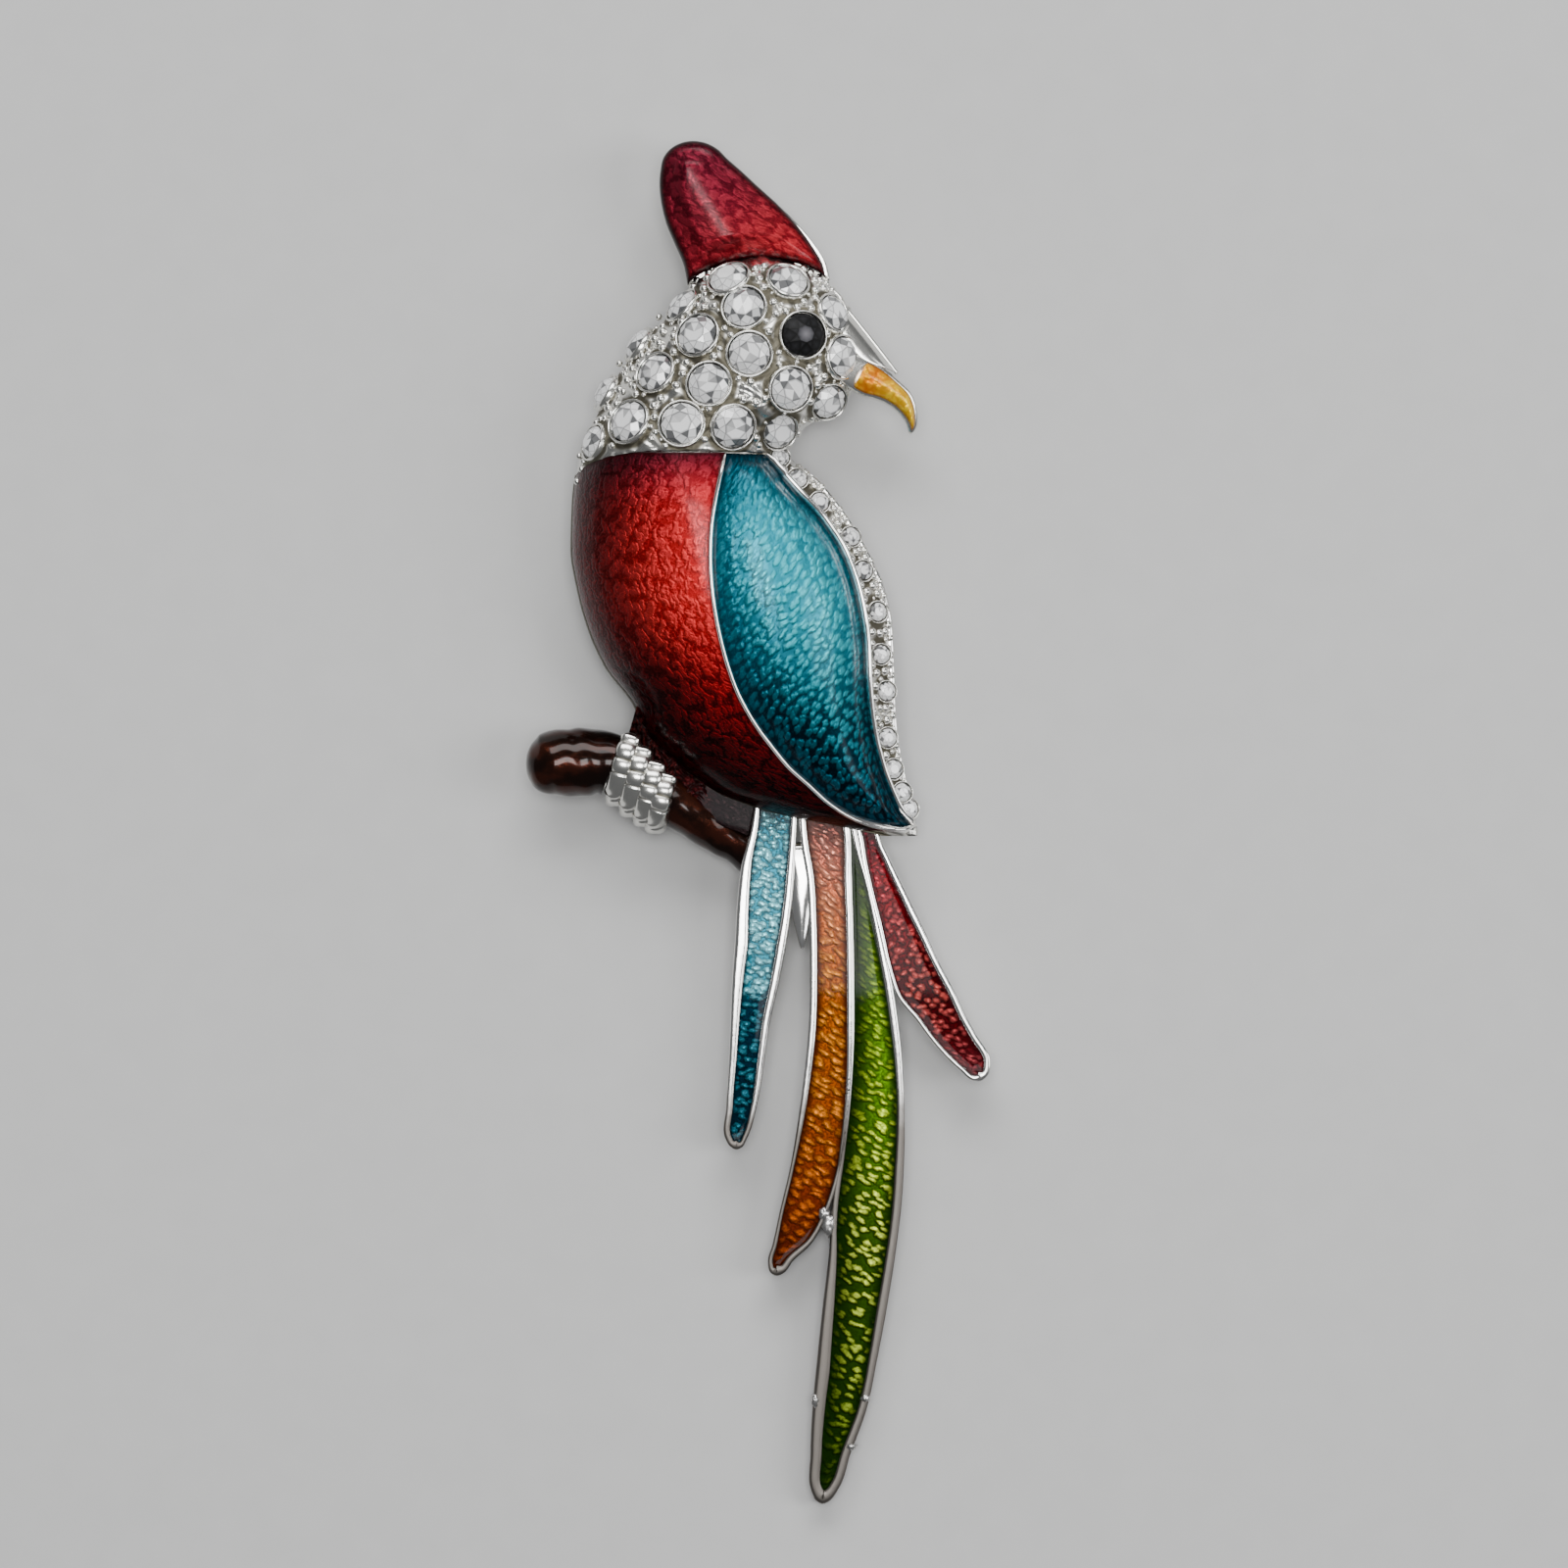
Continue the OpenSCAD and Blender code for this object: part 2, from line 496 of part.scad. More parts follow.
module on_skin(place, lean, lift) {
    p = flat(place);
    normal = skin_normal(p, lean);
    translate([p[0], p[1], skin_z(p)] + normal * lift)
        rotate([0, acos(normal[2]), atan2(normal[1], normal[0])])
            children();
}
module at_stone(i) {
    on_skin([stone_rows[i][0], stone_rows[i][1]], stone_rows[i][3], stone_lift) children();
}
module at_back_stone(i) {
    on_skin(back_rows[i], back_lean, back_lift) children();
}
module at_eye() {
    on_skin(eye_place, eye_lean, eye_lift) children();
}
module head_stone(i) {
    color([0.93, 0.93, 0.95]) at_stone(i) brilliant(stone_size * stone_rows[i][2]);
}
module back_stone(i) {
    color([0.93, 0.93, 0.95]) at_back_stone(i) small_brilliant(back_stone_size);
}
module grain(place, size) {
    on_skin(place, 0, -0.02) sphere(d = size, $fn = 6);
}

// one toe bent over the branch, highest at its knuckle
module toe(row) {
    perch = back_height + branch_level;
    start = [mm_x(row[0]), mm_y(row[1]), perch + toe_start_rise];
    over = [mm_x(row[2]), mm_y(row[3]), perch + mm_x(branch_rows[6][2]) + toe_over_rise];
    end = [mm_x(row[4]), mm_y(row[5]), perch + toe_end_rise];
    knuckle = mix(over, end, 0.5) + [0, 0, knuckle_rise];
    hull() {
        for (p = [start, over, knuckle, end])
            translate(p) sphere(d = toe_size, $fn = 7);
    }
}

module casting() color([0.8, 0.8, 0.8]) {
    difference() {
        union() {
            dome(rump_end, crown_end, enamel_depth, 0, dome_steps);
            slab(hood_grid(0), hood_grid(enamel_depth + skin_root));
            slab(band_grid(0), band_grid(enamel_depth + skin_root));
            slab(lip_grid(0), lip_grid(enamel_depth + skin_root));
            wing_rim(wing_left);
            wing_rim(wing_right);
            translate([0, 0, back_height + brow_level]) linear_extrude(brow_thick)
                polygon([for (p = brow_plate) flat(p)]);
            tray(beak, beak_levels, beak_thick, enamel_depth, beak_rim);
            for (i = [0:len(stone_rows) - 1])
                at_stone(i) bezel(stone_size * stone_rows[i][2], stone_proud, stone_deep, 10);
            at_eye() bezel(eye_size, eye_proud, eye_deep, 10);
            for (i = [0:len(back_rows) - 1])
                at_back_stone(i) bezel(back_stone_size, back_proud, back_deep, 8);
            for (g = grain_rows)
                grain(g, grain_size);
            for (g = back_grain_rows)
                grain(g, grain_size * 0.9);
        }
        dome(hollow_start, hollow_end, body_wall, 0.01, hollow_steps);
        for (i = [0:len(stone_rows) - 1])
            at_stone(i) seat(stone_size * stone_rows[i][2]);
        at_eye() seat(eye_size);
        for (i = [0:len(back_rows) - 1])
            at_back_stone(i) seat(back_stone_size);
    }
    slab(crest_grid(0, back_height + crest_plate, 0, crest_tuck), crest_grid(0, back_height, 0, crest_tuck));
    feather(blue);
    feather(orange);
    feather(green);
    feather(red);
    translate([0, 0, back_height + root_level - feather_thick]) linear_extrude(feather_thick - 0.3)
        polygon([for (p = web_plate) flat(p)]);
    translate([0, 0, back_height + leg_lift]) linear_extrude(leg_thick)
        polygon([for (p = leg_plate) flat(p)]);
    branch_core();
    for (row = toe_rows)
        toe(row);
    pin_pad(-1);
    pin_pad(1);
}
// pad over one end of the pin, run into the body's wall
module pin_pad(side) {
    inner = pin_length / 2 - pad_length;
    outer = half_w(pin_place * 1000 / overall_length) - body_wall + pad_grip;
    middle = pin_mid + side * (inner + outer) / 2;
    translate([middle - (outer - inner) / 2, pin_place - pad_width / 2, back_height])
        cube([outer - inner, pad_width, pad_height]);
}

module crest_enamel() color([0.65, 0.1, 0.12])
    slab(crest_grid(crest_margin, back_height + crest_plate + crest_edge, crest_swell, 0),
        crest_grid(crest_margin, back_height + crest_plate + floor_gap, 0, 0));
module breast_enamel() color([0.75, 0.12, 0.12])
    slab(breast_grid(0), breast_grid(enamel_depth - floor_gap));
module wing_enamel() color([0.1, 0.5, 0.6])
    slab(wing_grid(0, wing_swell), wing_grid(enamel_depth - floor_gap, 0));
module beak_enamel() color([0.95, 0.7, 0.2]) {
    kept = concat([for (i = [1:len(beak) - 2]) beak[i]], [beak_end]);
    fill(kept, [for (i = [1:len(kept)]) beak_levels[i]], enamel_depth, beak_rim, beak_crown);
}
module branch_enamel() color([0.25, 0.12, 0.06]) branch_sleeve(0, 5);
module branch_end_enamel() color([0.25, 0.12, 0.06]) branch_sleeve(9, 11);
module blue_feather_enamel() color([0.1, 0.5, 0.6]) feather_fill(blue, blue_end);
module orange_feather_enamel() color([0.85, 0.4, 0.15]) feather_fill(orange, orange_end);
module green_feather_enamel() color([0.5, 0.65, 0.15]) feather_fill(green, green_end);
module red_feather_enamel() color([0.7, 0.15, 0.2]) feather_fill(red, red_end);
module eye_stone() color([0.03, 0.03, 0.03]) at_eye() brilliant(eye_size);

module pin_back() color([0.78, 0.78, 0.8]) {
    plate_top = back_height - side_gap;
    axle = plate_top / 2 - pin_plate / 2;
    hinge_x = pin_mid - (pin_length - pad_length) / 2;
    catch_x = pin_mid + (pin_length - pad_length) / 2;
    translate([pin_mid - pin_length / 2, pin_place - pin_width / 2, plate_top - pin_plate])
        cube([pin_length, pin_width, pin_plate]);
    translate([hinge_x, pin_place + pin_width / 2, axle]) rotate([90, 0, 0])
        cylinder(r = axle, h = pin_width, $fn = 48);
    translate([hinge_x - axle, pin_place - pin_width / 2, axle])
        cube([2 * axle, pin_width, axle + pin_plate / 2]);
    translate([hinge_x, pin_place, axle]) rotate([0, 90, 0])
        cylinder(d = stem_size, h = catch_x - hinge_x + axle, $fn = 48);
    difference() {
        union() {
            translate([catch_x, pin_place + pin_width / 2, axle]) rotate([90, 0, 0])
                cylinder(r = axle, h = pin_width, $fn = 48);
            translate([catch_x - axle, pin_place - pin_width / 2, axle])
                cube([2 * axle, pin_width, axle + pin_plate / 2]);
        }
        translate([catch_x, pin_place, axle]) cube([3 * axle, stem_size * 1.5, stem_size * 1.5], center = true);
    }
}

module head_stone_01() head_stone(0);
module head_stone_02() head_stone(1);
module head_stone_03() head_stone(2);
module head_stone_04() head_stone(3);
module head_stone_05() head_stone(4);
module head_stone_06() head_stone(5);
module head_stone_07() head_stone(6);
module head_stone_08() head_stone(7);
module head_stone_09() head_stone(8);
module head_stone_10() head_stone(9);
module head_stone_11() head_stone(10);
module head_stone_12() head_stone(11);
module head_stone_13() head_stone(12);
module head_stone_14() head_stone(13);
module head_stone_15() head_stone(14);
module head_stone_16() head_stone(15);
module head_stone_17() head_stone(16);
module head_stone_18() head_stone(17);
module head_stone_19() head_stone(18);
module back_stone_01() back_stone(0);
module back_stone_02() back_stone(1);
module back_stone_03() back_stone(2);
module back_stone_04() back_stone(3);
module back_stone_05() back_stone(4);
module back_stone_06() back_stone(5);
module back_stone_07() back_stone(6);
module back_stone_08() back_stone(7);
module back_stone_09() back_stone(8);
module back_stone_10() back_stone(9);
module back_stone_11() back_stone(10);
module back_stone_12() back_stone(11);

casting();
crest_enamel();
breast_enamel();
wing_enamel();
beak_enamel();
branch_enamel();
branch_end_enamel();
blue_feather_enamel();
orange_feather_enamel();
green_feather_enamel();
red_feather_enamel();
eye_stone();
head_stone_01();
head_stone_02();
head_stone_03();
head_stone_04();
head_stone_05();
head_stone_06();
head_stone_07();
head_stone_08();
head_stone_09();
head_stone_10();
head_stone_11();
head_stone_12();
head_stone_13();
head_stone_14();
head_stone_15();
head_stone_16();
head_stone_17();
head_stone_18();
head_stone_19();
back_stone_01();
back_stone_02();
back_stone_03();
back_stone_04();
back_stone_05();
back_stone_06();
back_stone_07();
back_stone_08();
back_stone_09();
back_stone_10();
back_stone_11();
back_stone_12();
pin_back();
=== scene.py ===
import bmesh
import bpy
import numpy as np
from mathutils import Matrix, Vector


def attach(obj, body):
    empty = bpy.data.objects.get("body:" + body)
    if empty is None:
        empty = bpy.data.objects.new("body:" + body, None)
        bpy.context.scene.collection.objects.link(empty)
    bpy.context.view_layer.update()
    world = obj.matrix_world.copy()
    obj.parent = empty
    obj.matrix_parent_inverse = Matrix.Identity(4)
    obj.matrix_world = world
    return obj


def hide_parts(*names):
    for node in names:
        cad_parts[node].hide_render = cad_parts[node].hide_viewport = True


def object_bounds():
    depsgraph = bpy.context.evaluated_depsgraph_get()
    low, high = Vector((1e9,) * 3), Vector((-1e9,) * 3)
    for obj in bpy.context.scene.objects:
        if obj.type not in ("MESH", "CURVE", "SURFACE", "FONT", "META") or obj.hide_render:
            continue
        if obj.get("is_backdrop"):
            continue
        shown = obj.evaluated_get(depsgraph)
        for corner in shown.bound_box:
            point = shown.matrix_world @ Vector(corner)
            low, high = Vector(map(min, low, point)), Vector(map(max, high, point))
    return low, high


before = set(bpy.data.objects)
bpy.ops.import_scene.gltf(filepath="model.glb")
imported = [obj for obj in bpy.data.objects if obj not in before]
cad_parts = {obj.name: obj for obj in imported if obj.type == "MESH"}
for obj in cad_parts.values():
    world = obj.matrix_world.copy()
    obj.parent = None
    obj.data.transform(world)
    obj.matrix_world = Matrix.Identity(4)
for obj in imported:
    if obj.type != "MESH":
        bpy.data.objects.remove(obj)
cadLow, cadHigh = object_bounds()
print("frame loaded")

# Lengths below are millimetres; meshes are put down in metres.
mm = 0.001
overallWidth = (cadHigh.x - cadLow.x) / mm
overallLength = (cadHigh.y - cadLow.y) / mm


# share of the width or length, in thousandths from the middle, to millimetres
def acrossOf(share):
    return np.asarray(share, float) * overallWidth / 1000


def alongOf(share):
    return np.asarray(share, float) * overallLength / 1000


# and back to thousandths
def shareAcross(x):
    return x / acrossOf(1)


def shareAlong(y):
    return y * 1000 / overallLength


# plan points of a table of such shares, and points of the plan with their heights
def planOf(table):
    table = np.array(table, float)
    return np.stack([acrossOf(table[:, 0]), alongOf(table[:, 1])], -1)


def atHeight(plan, z):
    return np.concatenate([plan, np.broadcast_to(z, plan.shape[:-1])[..., None]], -1)


# even values down a column or along a row of a grid
def columnOf(first, last, count):
    return np.linspace(first, last, count)[:, None]


def rowOf(first, last, count):
    return np.linspace(first, last, count)[None]


# straight blend: a where f is 0, b where it is 1
def blendOf(a, b, f):
    return a + (b - a) * f


# grid between two lines of points: f is 0 on the first and 1 on the second
def betweenLines(a, b, f):
    return a[:, None] * (1 - f[..., None]) + b[:, None] * f[..., None]


# 0 below the low value, 1 above the high one, with the cubic 3f^2 - 2f^3 between
def easeOf(value, low, high):
    f = np.clip((value - low) / (high - low), 0, 1)
    return f * f * (3 - 2 * f)


# vectors divided by their lengths
def unitOf(vectors):
    return vectors / np.maximum(np.linalg.norm(vectors, axis=-1, keepdims=True), 1e-12)


# Hermite cubic from a to b over a step, with a slope at each end
def hermiteOf(a, b, slopeA, slopeB, step, f):
    return ((2 * f**3 - 3 * f**2 + 1) * a + (f**3 - 2 * f**2 + f) * step * slopeA
            + (3 * f**2 - 2 * f**3) * b + (f**3 - f**2) * step * slopeB)


# cubic through a table's points: inner slopes are the harmonic mean of the slopes on both
# sides, so it doesn't swing past its points
def smoothTable(keys, values, at):
    keys, values, at = (np.asarray(a, float) for a in (keys, values, at))
    step = np.diff(keys)
    slope = np.diff(values) / step
    product, total = slope[:-1] * slope[1:], slope[:-1] + slope[1:]
    inner = np.where(product > 0, 2 * product / np.where(np.abs(total) < 1e-9, 1, total), 0)
    slopes = np.concatenate([slope[:1], inner, slope[-1:]])
    i = np.clip(np.searchsorted(keys, at, side="right") - 1, 0, len(step) - 1)
    f = np.clip((at - keys[i]) / step[i], 0, 1)
    return hermiteOf(values[i], values[i + 1], slopes[i], slopes[i + 1], step[i], f)


# distance run along a line of points
def runOf(points):
    return np.concatenate([[0], np.cumsum(np.linalg.norm(np.diff(points, axis=0), axis=1))])


# smooth line through points: every coordinate is a cubic of the distance run, with slopes
# taken across the neighbours, cut into equal lengths between two point numbers
def smoothLine(points, count, first=0, last=None):
    points = np.asarray(points, float)
    run = runOf(points)
    slopes = np.gradient(points, run, axis=0)
    last = len(points) - 1 if last is None else last
    at = np.linspace(*np.interp([first, last], np.arange(len(points)), run), 1200)
    i = np.clip(np.searchsorted(run, at, side="right") - 1, 0, len(run) - 2)
    step = np.diff(run)[i][:, None]
    f = (at - run[i])[:, None] / step
    line = hermiteOf(points[i], points[i + 1], slopes[i], slopes[i + 1], step, f)
    length = runOf(line)
    even = np.linspace(0, length[-1], count)
    return np.stack([np.interp(even, length, column) for column in line.T], -1)


# both sides of a tapering outline from its root to the middle of its tip, in equal shares of
# their length; rows run from root to tip, and rounded puts a point ahead of the last of them
def taperSides(rows, count, rounded=0.0):
    rows = np.array(rows, float)
    left, right = planOf(rows[:, :2]), planOf(rows[:, 2:])[::-1]
    loop, tip = np.vstack([left, right]), len(left) - 0.5
    if rounded:
        ahead = unitOf(left[-1] + right[0] - left[-2] - right[1])
        end = (left[-1] + right[0]) / 2 + ahead * rounded * np.linalg.norm(left[-1] - right[0])
        loop, tip = np.vstack([left, end, right]), len(left)
    return smoothLine(loop, count, 0, tip), smoothLine(loop, count, tip, len(loop) - 1)[::-1]


# such sides moved inward, square to their run, never past the middle
def insetSides(left, right, margins):
    moved = []
    for line, margin, sign in ((left, margins[0], 1), (right, margins[1], -1)):
        tangent = unitOf(np.gradient(line, axis=0))
        moved.append(line + sign * (margin * np.stack([-tangent[:, 1], tangent[:, 0]])).T)
    wide = np.einsum("ij,ij->i", moved[1] - moved[0], right - left)
    return [np.where((wide <= 0)[:, None], (moved[0] + moved[1]) / 2, line) for line in moved]


# shortest distance in the plan from each point of a grid to a line of points
def distanceTo(points, line):
    flat = points.reshape(-1, points.shape[-1])[:, :2]
    best = np.full(len(flat), 1e9)
    for start, end in zip(line[:-1, :2], line[1:, :2]):
        d = end - start
        f = np.clip(((flat - start) @ d) / max(d @ d, 1e-12), 0, 1)
        best = np.minimum(best, np.linalg.norm(flat - start - f[:, None] * d, axis=1))
    return best.reshape(points.shape[:-1])


# outward direction of a grid of points: across the rows times along them
def gridNormal(points):
    return unitOf(np.cross(np.gradient(points, axis=1), np.gradient(points, axis=0)))


# distance over the surface from the middle column and the first row, which the patterns follow
def flatMap(points):
    u = np.cumsum(np.linalg.norm(np.diff(points, axis=1, prepend=points[:, :1]), axis=2), 1)
    v = np.cumsum(np.linalg.norm(np.diff(points, axis=0, prepend=points[:1]), axis=2), 0)
    return np.stack([u - u[:, -1:] / 2, v, 0 * u], -1)


# three directions with the last one along up, as the rows of a turn matrix
def frameOf(up, spin=0.0):
    up = unitOf(np.asarray(up, float))
    helper = np.array([1.0, 0, 0]) if abs(up[0]) < 0.8 else np.array([0, 1.0, 0])
    x = unitOf(np.cross(helper, up))
    y = np.cross(up, x)
    return np.stack([x * np.cos(spin) + y * np.sin(spin), y * np.cos(spin) - x * np.sin(spin), up])


# a value for each point of a grid, given as one number, a row, a column or a grid
def fillGrid(value, points):
    value = np.asarray(value, float)
    return value if value.ndim == 3 else np.broadcast_to(value, points.shape[:2])


# faces between neighbouring points of a grid; around joins the last column to the first
def gridPart(points, around=False, **values):
    index = np.arange(points[..., 0].size).reshape(points.shape[:2])
    if around:
        index = np.hstack([index, index[:, :1]])
    faces = np.stack([index[:-1, :-1], index[:-1, 1:], index[1:, 1:], index[1:, :-1]], -1)
    return {"points": points.reshape(-1, 3), "faces": faces.reshape(-1, 4),
            "values": {k: fillGrid(v, points).reshape(points[..., 0].size, -1) for k, v in values.items()}}


# closed solid between an upper and a lower grid of the same size
def slabPart(upper, lower, **values):
    rows, cols = upper.shape[:2]
    values = {k: fillGrid(v, upper) for k, v in values.items()}
    part = gridPart(np.concatenate([upper, lower[:, ::-1]], 1), True,
                    **{k: np.concatenate([v, v[:, ::-1]], 1) for k, v in values.items()})
    index = np.arange(rows * 2 * cols).reshape(rows, 2 * cols)
    for row in (index[0], index[-1]):
        a, b = row[:cols], row[::-1][:cols]
        part["faces"] = np.vstack([part["faces"], np.stack([a[:-1], b[:-1], b[1:], a[1:]], -1)])
    return part


# tube: at each point of a line, side * x + up * y for every point (x, y) of a closed profile;
# both ends shrink onto the line
def tubePart(line, up, profile, scale, **values):
    side = unitOf(np.cross(unitOf(np.gradient(line, axis=0)), up))
    x, y = (profile[:, k][None, :, None] * scale[:, None, None] for k in (0, 1))
    rings = line[:, None] + side[:, None] * x + unitOf(up)[:, None] * y
    ends = [np.repeat(line[k][None, None], len(profile), 1) for k in (0, -1)]
    return gridPart(np.concatenate([ends[0], rings, ends[1]]), True, **values)


# ellipse with half axes across and high, its middle lifted
def ovalProfile(across, high, lift=0.0, count=16):
    t = np.arange(count) * 2 * np.pi / count
    return np.stack([across * np.cos(t), high * np.sin(t) + lift], -1)


# ball: rings of a circle at heights cos(t), each of radius sin(t)
def ballPart(centre, radius, up, squash, rings, count, **values):
    t = columnOf(0, np.pi, rings)
    p = np.arange(count) * 2 * np.pi / count
    local = np.stack([np.sin(t) * np.cos(p), np.sin(t) * np.sin(p), np.cos(t) * squash + 0 * p], -1)
    return gridPart(centre + radius * local @ frameOf(up), True, **values)


# object put into the scene
def newObject(name, data):
    made = bpy.data.objects.new(name, data)
    bpy.context.scene.collection.objects.link(made)
    return made


# object with its faces turned outward, riding on the only body
def addPiece(name, mesh, materials, nodes, weld=0.0):
    work = bmesh.new()
    work.from_mesh(mesh)
    if weld:
        bmesh.ops.remove_doubles(work, verts=work.verts, dist=weld)
    bmesh.ops.recalc_face_normals(work, faces=work.faces)
    work.to_mesh(mesh)
    work.free()
    for material in materials:
        mesh.materials.append(material)
    piece = newObject(name, mesh)
    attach(piece, "root")
    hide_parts(*nodes)
    return piece


# one smooth object from its parts, with their values as attributes
def makePiece(name, parts, material, nodes):
    starts = np.cumsum([0] + [len(p["points"]) for p in parts])
    faces = np.vstack([p["faces"] + s for p, s in zip(parts, starts)])
    mesh = bpy.data.meshes.new(name)
    mesh.from_pydata(np.vstack([p["points"] for p in parts]) * mm, [], faces.tolist())
    for key in sorted({k for p in parts for k in p["values"]}):
        width = max(p["values"][key].shape[1] for p in parts if key in p["values"])
        data = [p["values"].get(key, np.zeros((len(p["points"]), width))) for p in parts]
        layer = mesh.attributes.new(key, "FLOAT" if width == 1 else "FLOAT_VECTOR", "POINT")
        layer.data.foreach_set("value" if width == 1 else "vector", np.vstack(data).ravel().astype(np.float32))
    piece = addPiece(name, mesh, [material], nodes, 2e-7)
    mesh.shade_smooth()
    return piece


# a node's inputs: a socket is linked, anything else is set
def feed(tree, node, inputs):
    for key, value in inputs.items():
        if isinstance(value, bpy.types.NodeSocket):
            tree.links.new(value, node.inputs[key])
        else:
            node.inputs[key].default_value = value


# shader node of a kind with its settings and inputs; the next functions make the kinds used here
def add(tree, kind, inputs=None, **settings):
    made = tree.nodes.new("ShaderNode" + kind)
    for key, value in settings.items():
        setattr(made, key, value)
    feed(tree, made, inputs or {})
    return made


def calc(tree, operation, a, b=0.0, c=0.0, clamp=False):
    return add(tree, "Math", {0: a, 1: b, 2: c}, operation=operation, use_clamp=clamp).outputs[0]


def vectorOf(tree, operation, a, b, c=(0, 0, 0)):
    return add(tree, "VectorMath", {0: a, 1: b, 2: c}, operation=operation).outputs[0]


def mixColour(tree, factor, a, b, kind="MIX"):
    return add(tree, "Mix", {0: factor, 6: a, 7: b}, data_type="RGBA", blend_type=kind).outputs[2]


def rampOf(tree, factor, stops):
    ramp = add(tree, "ValToRGB", {0: factor})
    while len(ramp.color_ramp.elements) < len(stops):
        ramp.color_ramp.elements.new(0.5)
    for element, (place, *colour) in zip(ramp.color_ramp.elements, stops):
        element.position = place
        element.color = (*colour, 1)
    return ramp.outputs[0]


def levelsOf(tree, value, low, high):
    return add(tree, "MapRange", {0: value, 1: low, 2: high}, interpolation_type="SMOOTHSTEP").outputs[0]


def noiseOf(tree, place, scale, detail=2.0, rough=0.5):
    inputs = {"Vector": place, "Scale": scale, "Detail": detail, "Roughness": rough}
    return add(tree, "TexNoise", inputs).outputs


def bumpOf(tree, strength, distance, height):
    return add(tree, "Bump", {"Strength": strength, "Distance": distance, "Height": height}).outputs[0]


def placeOf(tree):
    return add(tree, "TexCoord").outputs["Object"]


def attributeOf(tree, name, output="Fac"):
    return add(tree, "Attribute", attribute_name=name).outputs[output]


# node group with an input for each value, its kind told by how many numbers the value has
def newGroup(name, inputs, outputs):
    group = bpy.data.node_groups.new(name, "ShaderNodeTree")
    for title, value in inputs.items():
        kind = {1: "Float", 3: "Vector", 4: "Color"}[np.size(value)]
        socket = group.interface.new_socket(title, in_out="INPUT", socket_type="NodeSocket" + kind)
        socket.default_value = value
    for title, kind in outputs.items():
        group.interface.new_socket(title, in_out="OUTPUT", socket_type="NodeSocket" + kind)
    return group, group.nodes.new("NodeGroupInput").outputs, group.nodes.new("NodeGroupOutput")


# material with values set on its own shader
def newMaterial(name, sockets):
    material = bpy.data.materials.new(name)
    material.use_nodes = True
    shader = material.node_tree.nodes["Principled BSDF"]
    feed(material.node_tree, shader, sockets)
    return material, material.node_tree, shader


# hammered floor under the lacquer: cells of a wandering Voronoi pattern, high in their middles
tree, given, out = newGroup("hammeredFloor", {
    "Vector": (0, 0, 0), "Cells": 1.8, "Stretch": (1, 1, 1), "Turn": 0.0, "Wander": 0.35, "Soft": 0.35},
    {"Relief": "Float", "Fine": "Float"})
wander = noiseOf(tree, given["Vector"], 1.1, 3.0)["Color"]
shift = vectorOf(tree, "SUBTRACT", wander, (0.5, 0.5, 0.5))
moved = vectorOf(tree, "MULTIPLY_ADD", shift, given["Wander"], given["Vector"])
turned = add(tree, "VectorRotate", {"Vector": moved, "Angle": given["Turn"]}, rotation_type="Z_AXIS").outputs[0]
spread = vectorOf(tree, "MULTIPLY", turned, given["Stretch"])
cells = add(tree, "TexVoronoi", {"Vector": spread, "Scale": given["Cells"], "Smoothness": given["Soft"],
                                 "Randomness": 0.8}, voronoi_dimensions="2D", feature="SMOOTH_F1")
feed(tree, out, {"Relief": levelsOf(tree, cells.outputs["Distance"], 0.62, 0.12),
                 "Fine": noiseOf(tree, given["Vector"], 6.0, 4.0, 0.6)[0]})
hammeredFloor = tree

# plated metal: brightness, roughness and small unevenness, darker and yellower where tarnish and painted shade
# sit
tree, given, out = newGroup("platedMetal", {
    "Vector": (0, 0, 0), "TarnishAndShade": 0.0, "Clean": (0.8, 0.79, 0.77, 1), "Dull": (0.2, 0.18, 0.14, 1),
    "Polish": 0.14}, {"Color": "Color", "Roughness": "Float", "Height": "Float"})
cloud = noiseOf(tree, given["Vector"], 700.0, 5.0, 0.6)[0]
pits = noiseOf(tree, given["Vector"], 2600.0, 3.0)[0]
spread = levelsOf(tree, calc(tree, "MULTIPLY_ADD", cloud, 0.6, given["TarnishAndShade"]), 0.42, 1.25)
rough = calc(tree, "MULTIPLY_ADD", spread, 0.3, given["Polish"])
feed(tree, out, {
    "Color": mixColour(tree, spread, given["Clean"], given["Dull"]),
    "Roughness": calc(tree, "MULTIPLY_ADD", cloud, 0.12, rough),
    "Height": calc(tree, "MULTIPLY_ADD", pits, 0.3, calc(tree, "MULTIPLY", cloud, 0.7))})
platedMetal = tree


# silver plate; its tarnish and painted shade read the piece's own attribute
def plateMaterial(name, clean, dull, polish, bump):
    material, tree, shader = newMaterial(name, {"Metallic": 1.0})
    plate = add(tree, "Group", {
        "Vector": placeOf(tree), "TarnishAndShade": attributeOf(tree, "grime"), "Clean": (*clean, 1),
        "Dull": (*dull, 1), "Polish": polish}, node_tree=platedMetal).outputs
    feed(tree, shader, {"Base Color": plate["Color"], "Roughness": plate["Roughness"],
                        "Normal": bumpOf(tree, bump, 0.00006, plate["Height"])})
    return material


# values that an enamel has unless its own say otherwise
enamel = {"gloss": 0.04, "coat": 1.36, "rough": 0.3, "metal": 0.6, "relief": 0.00012, "stretch": (1, 1, 1),
          "turn": 0.0, "low": 0.1, "high": 0.9}
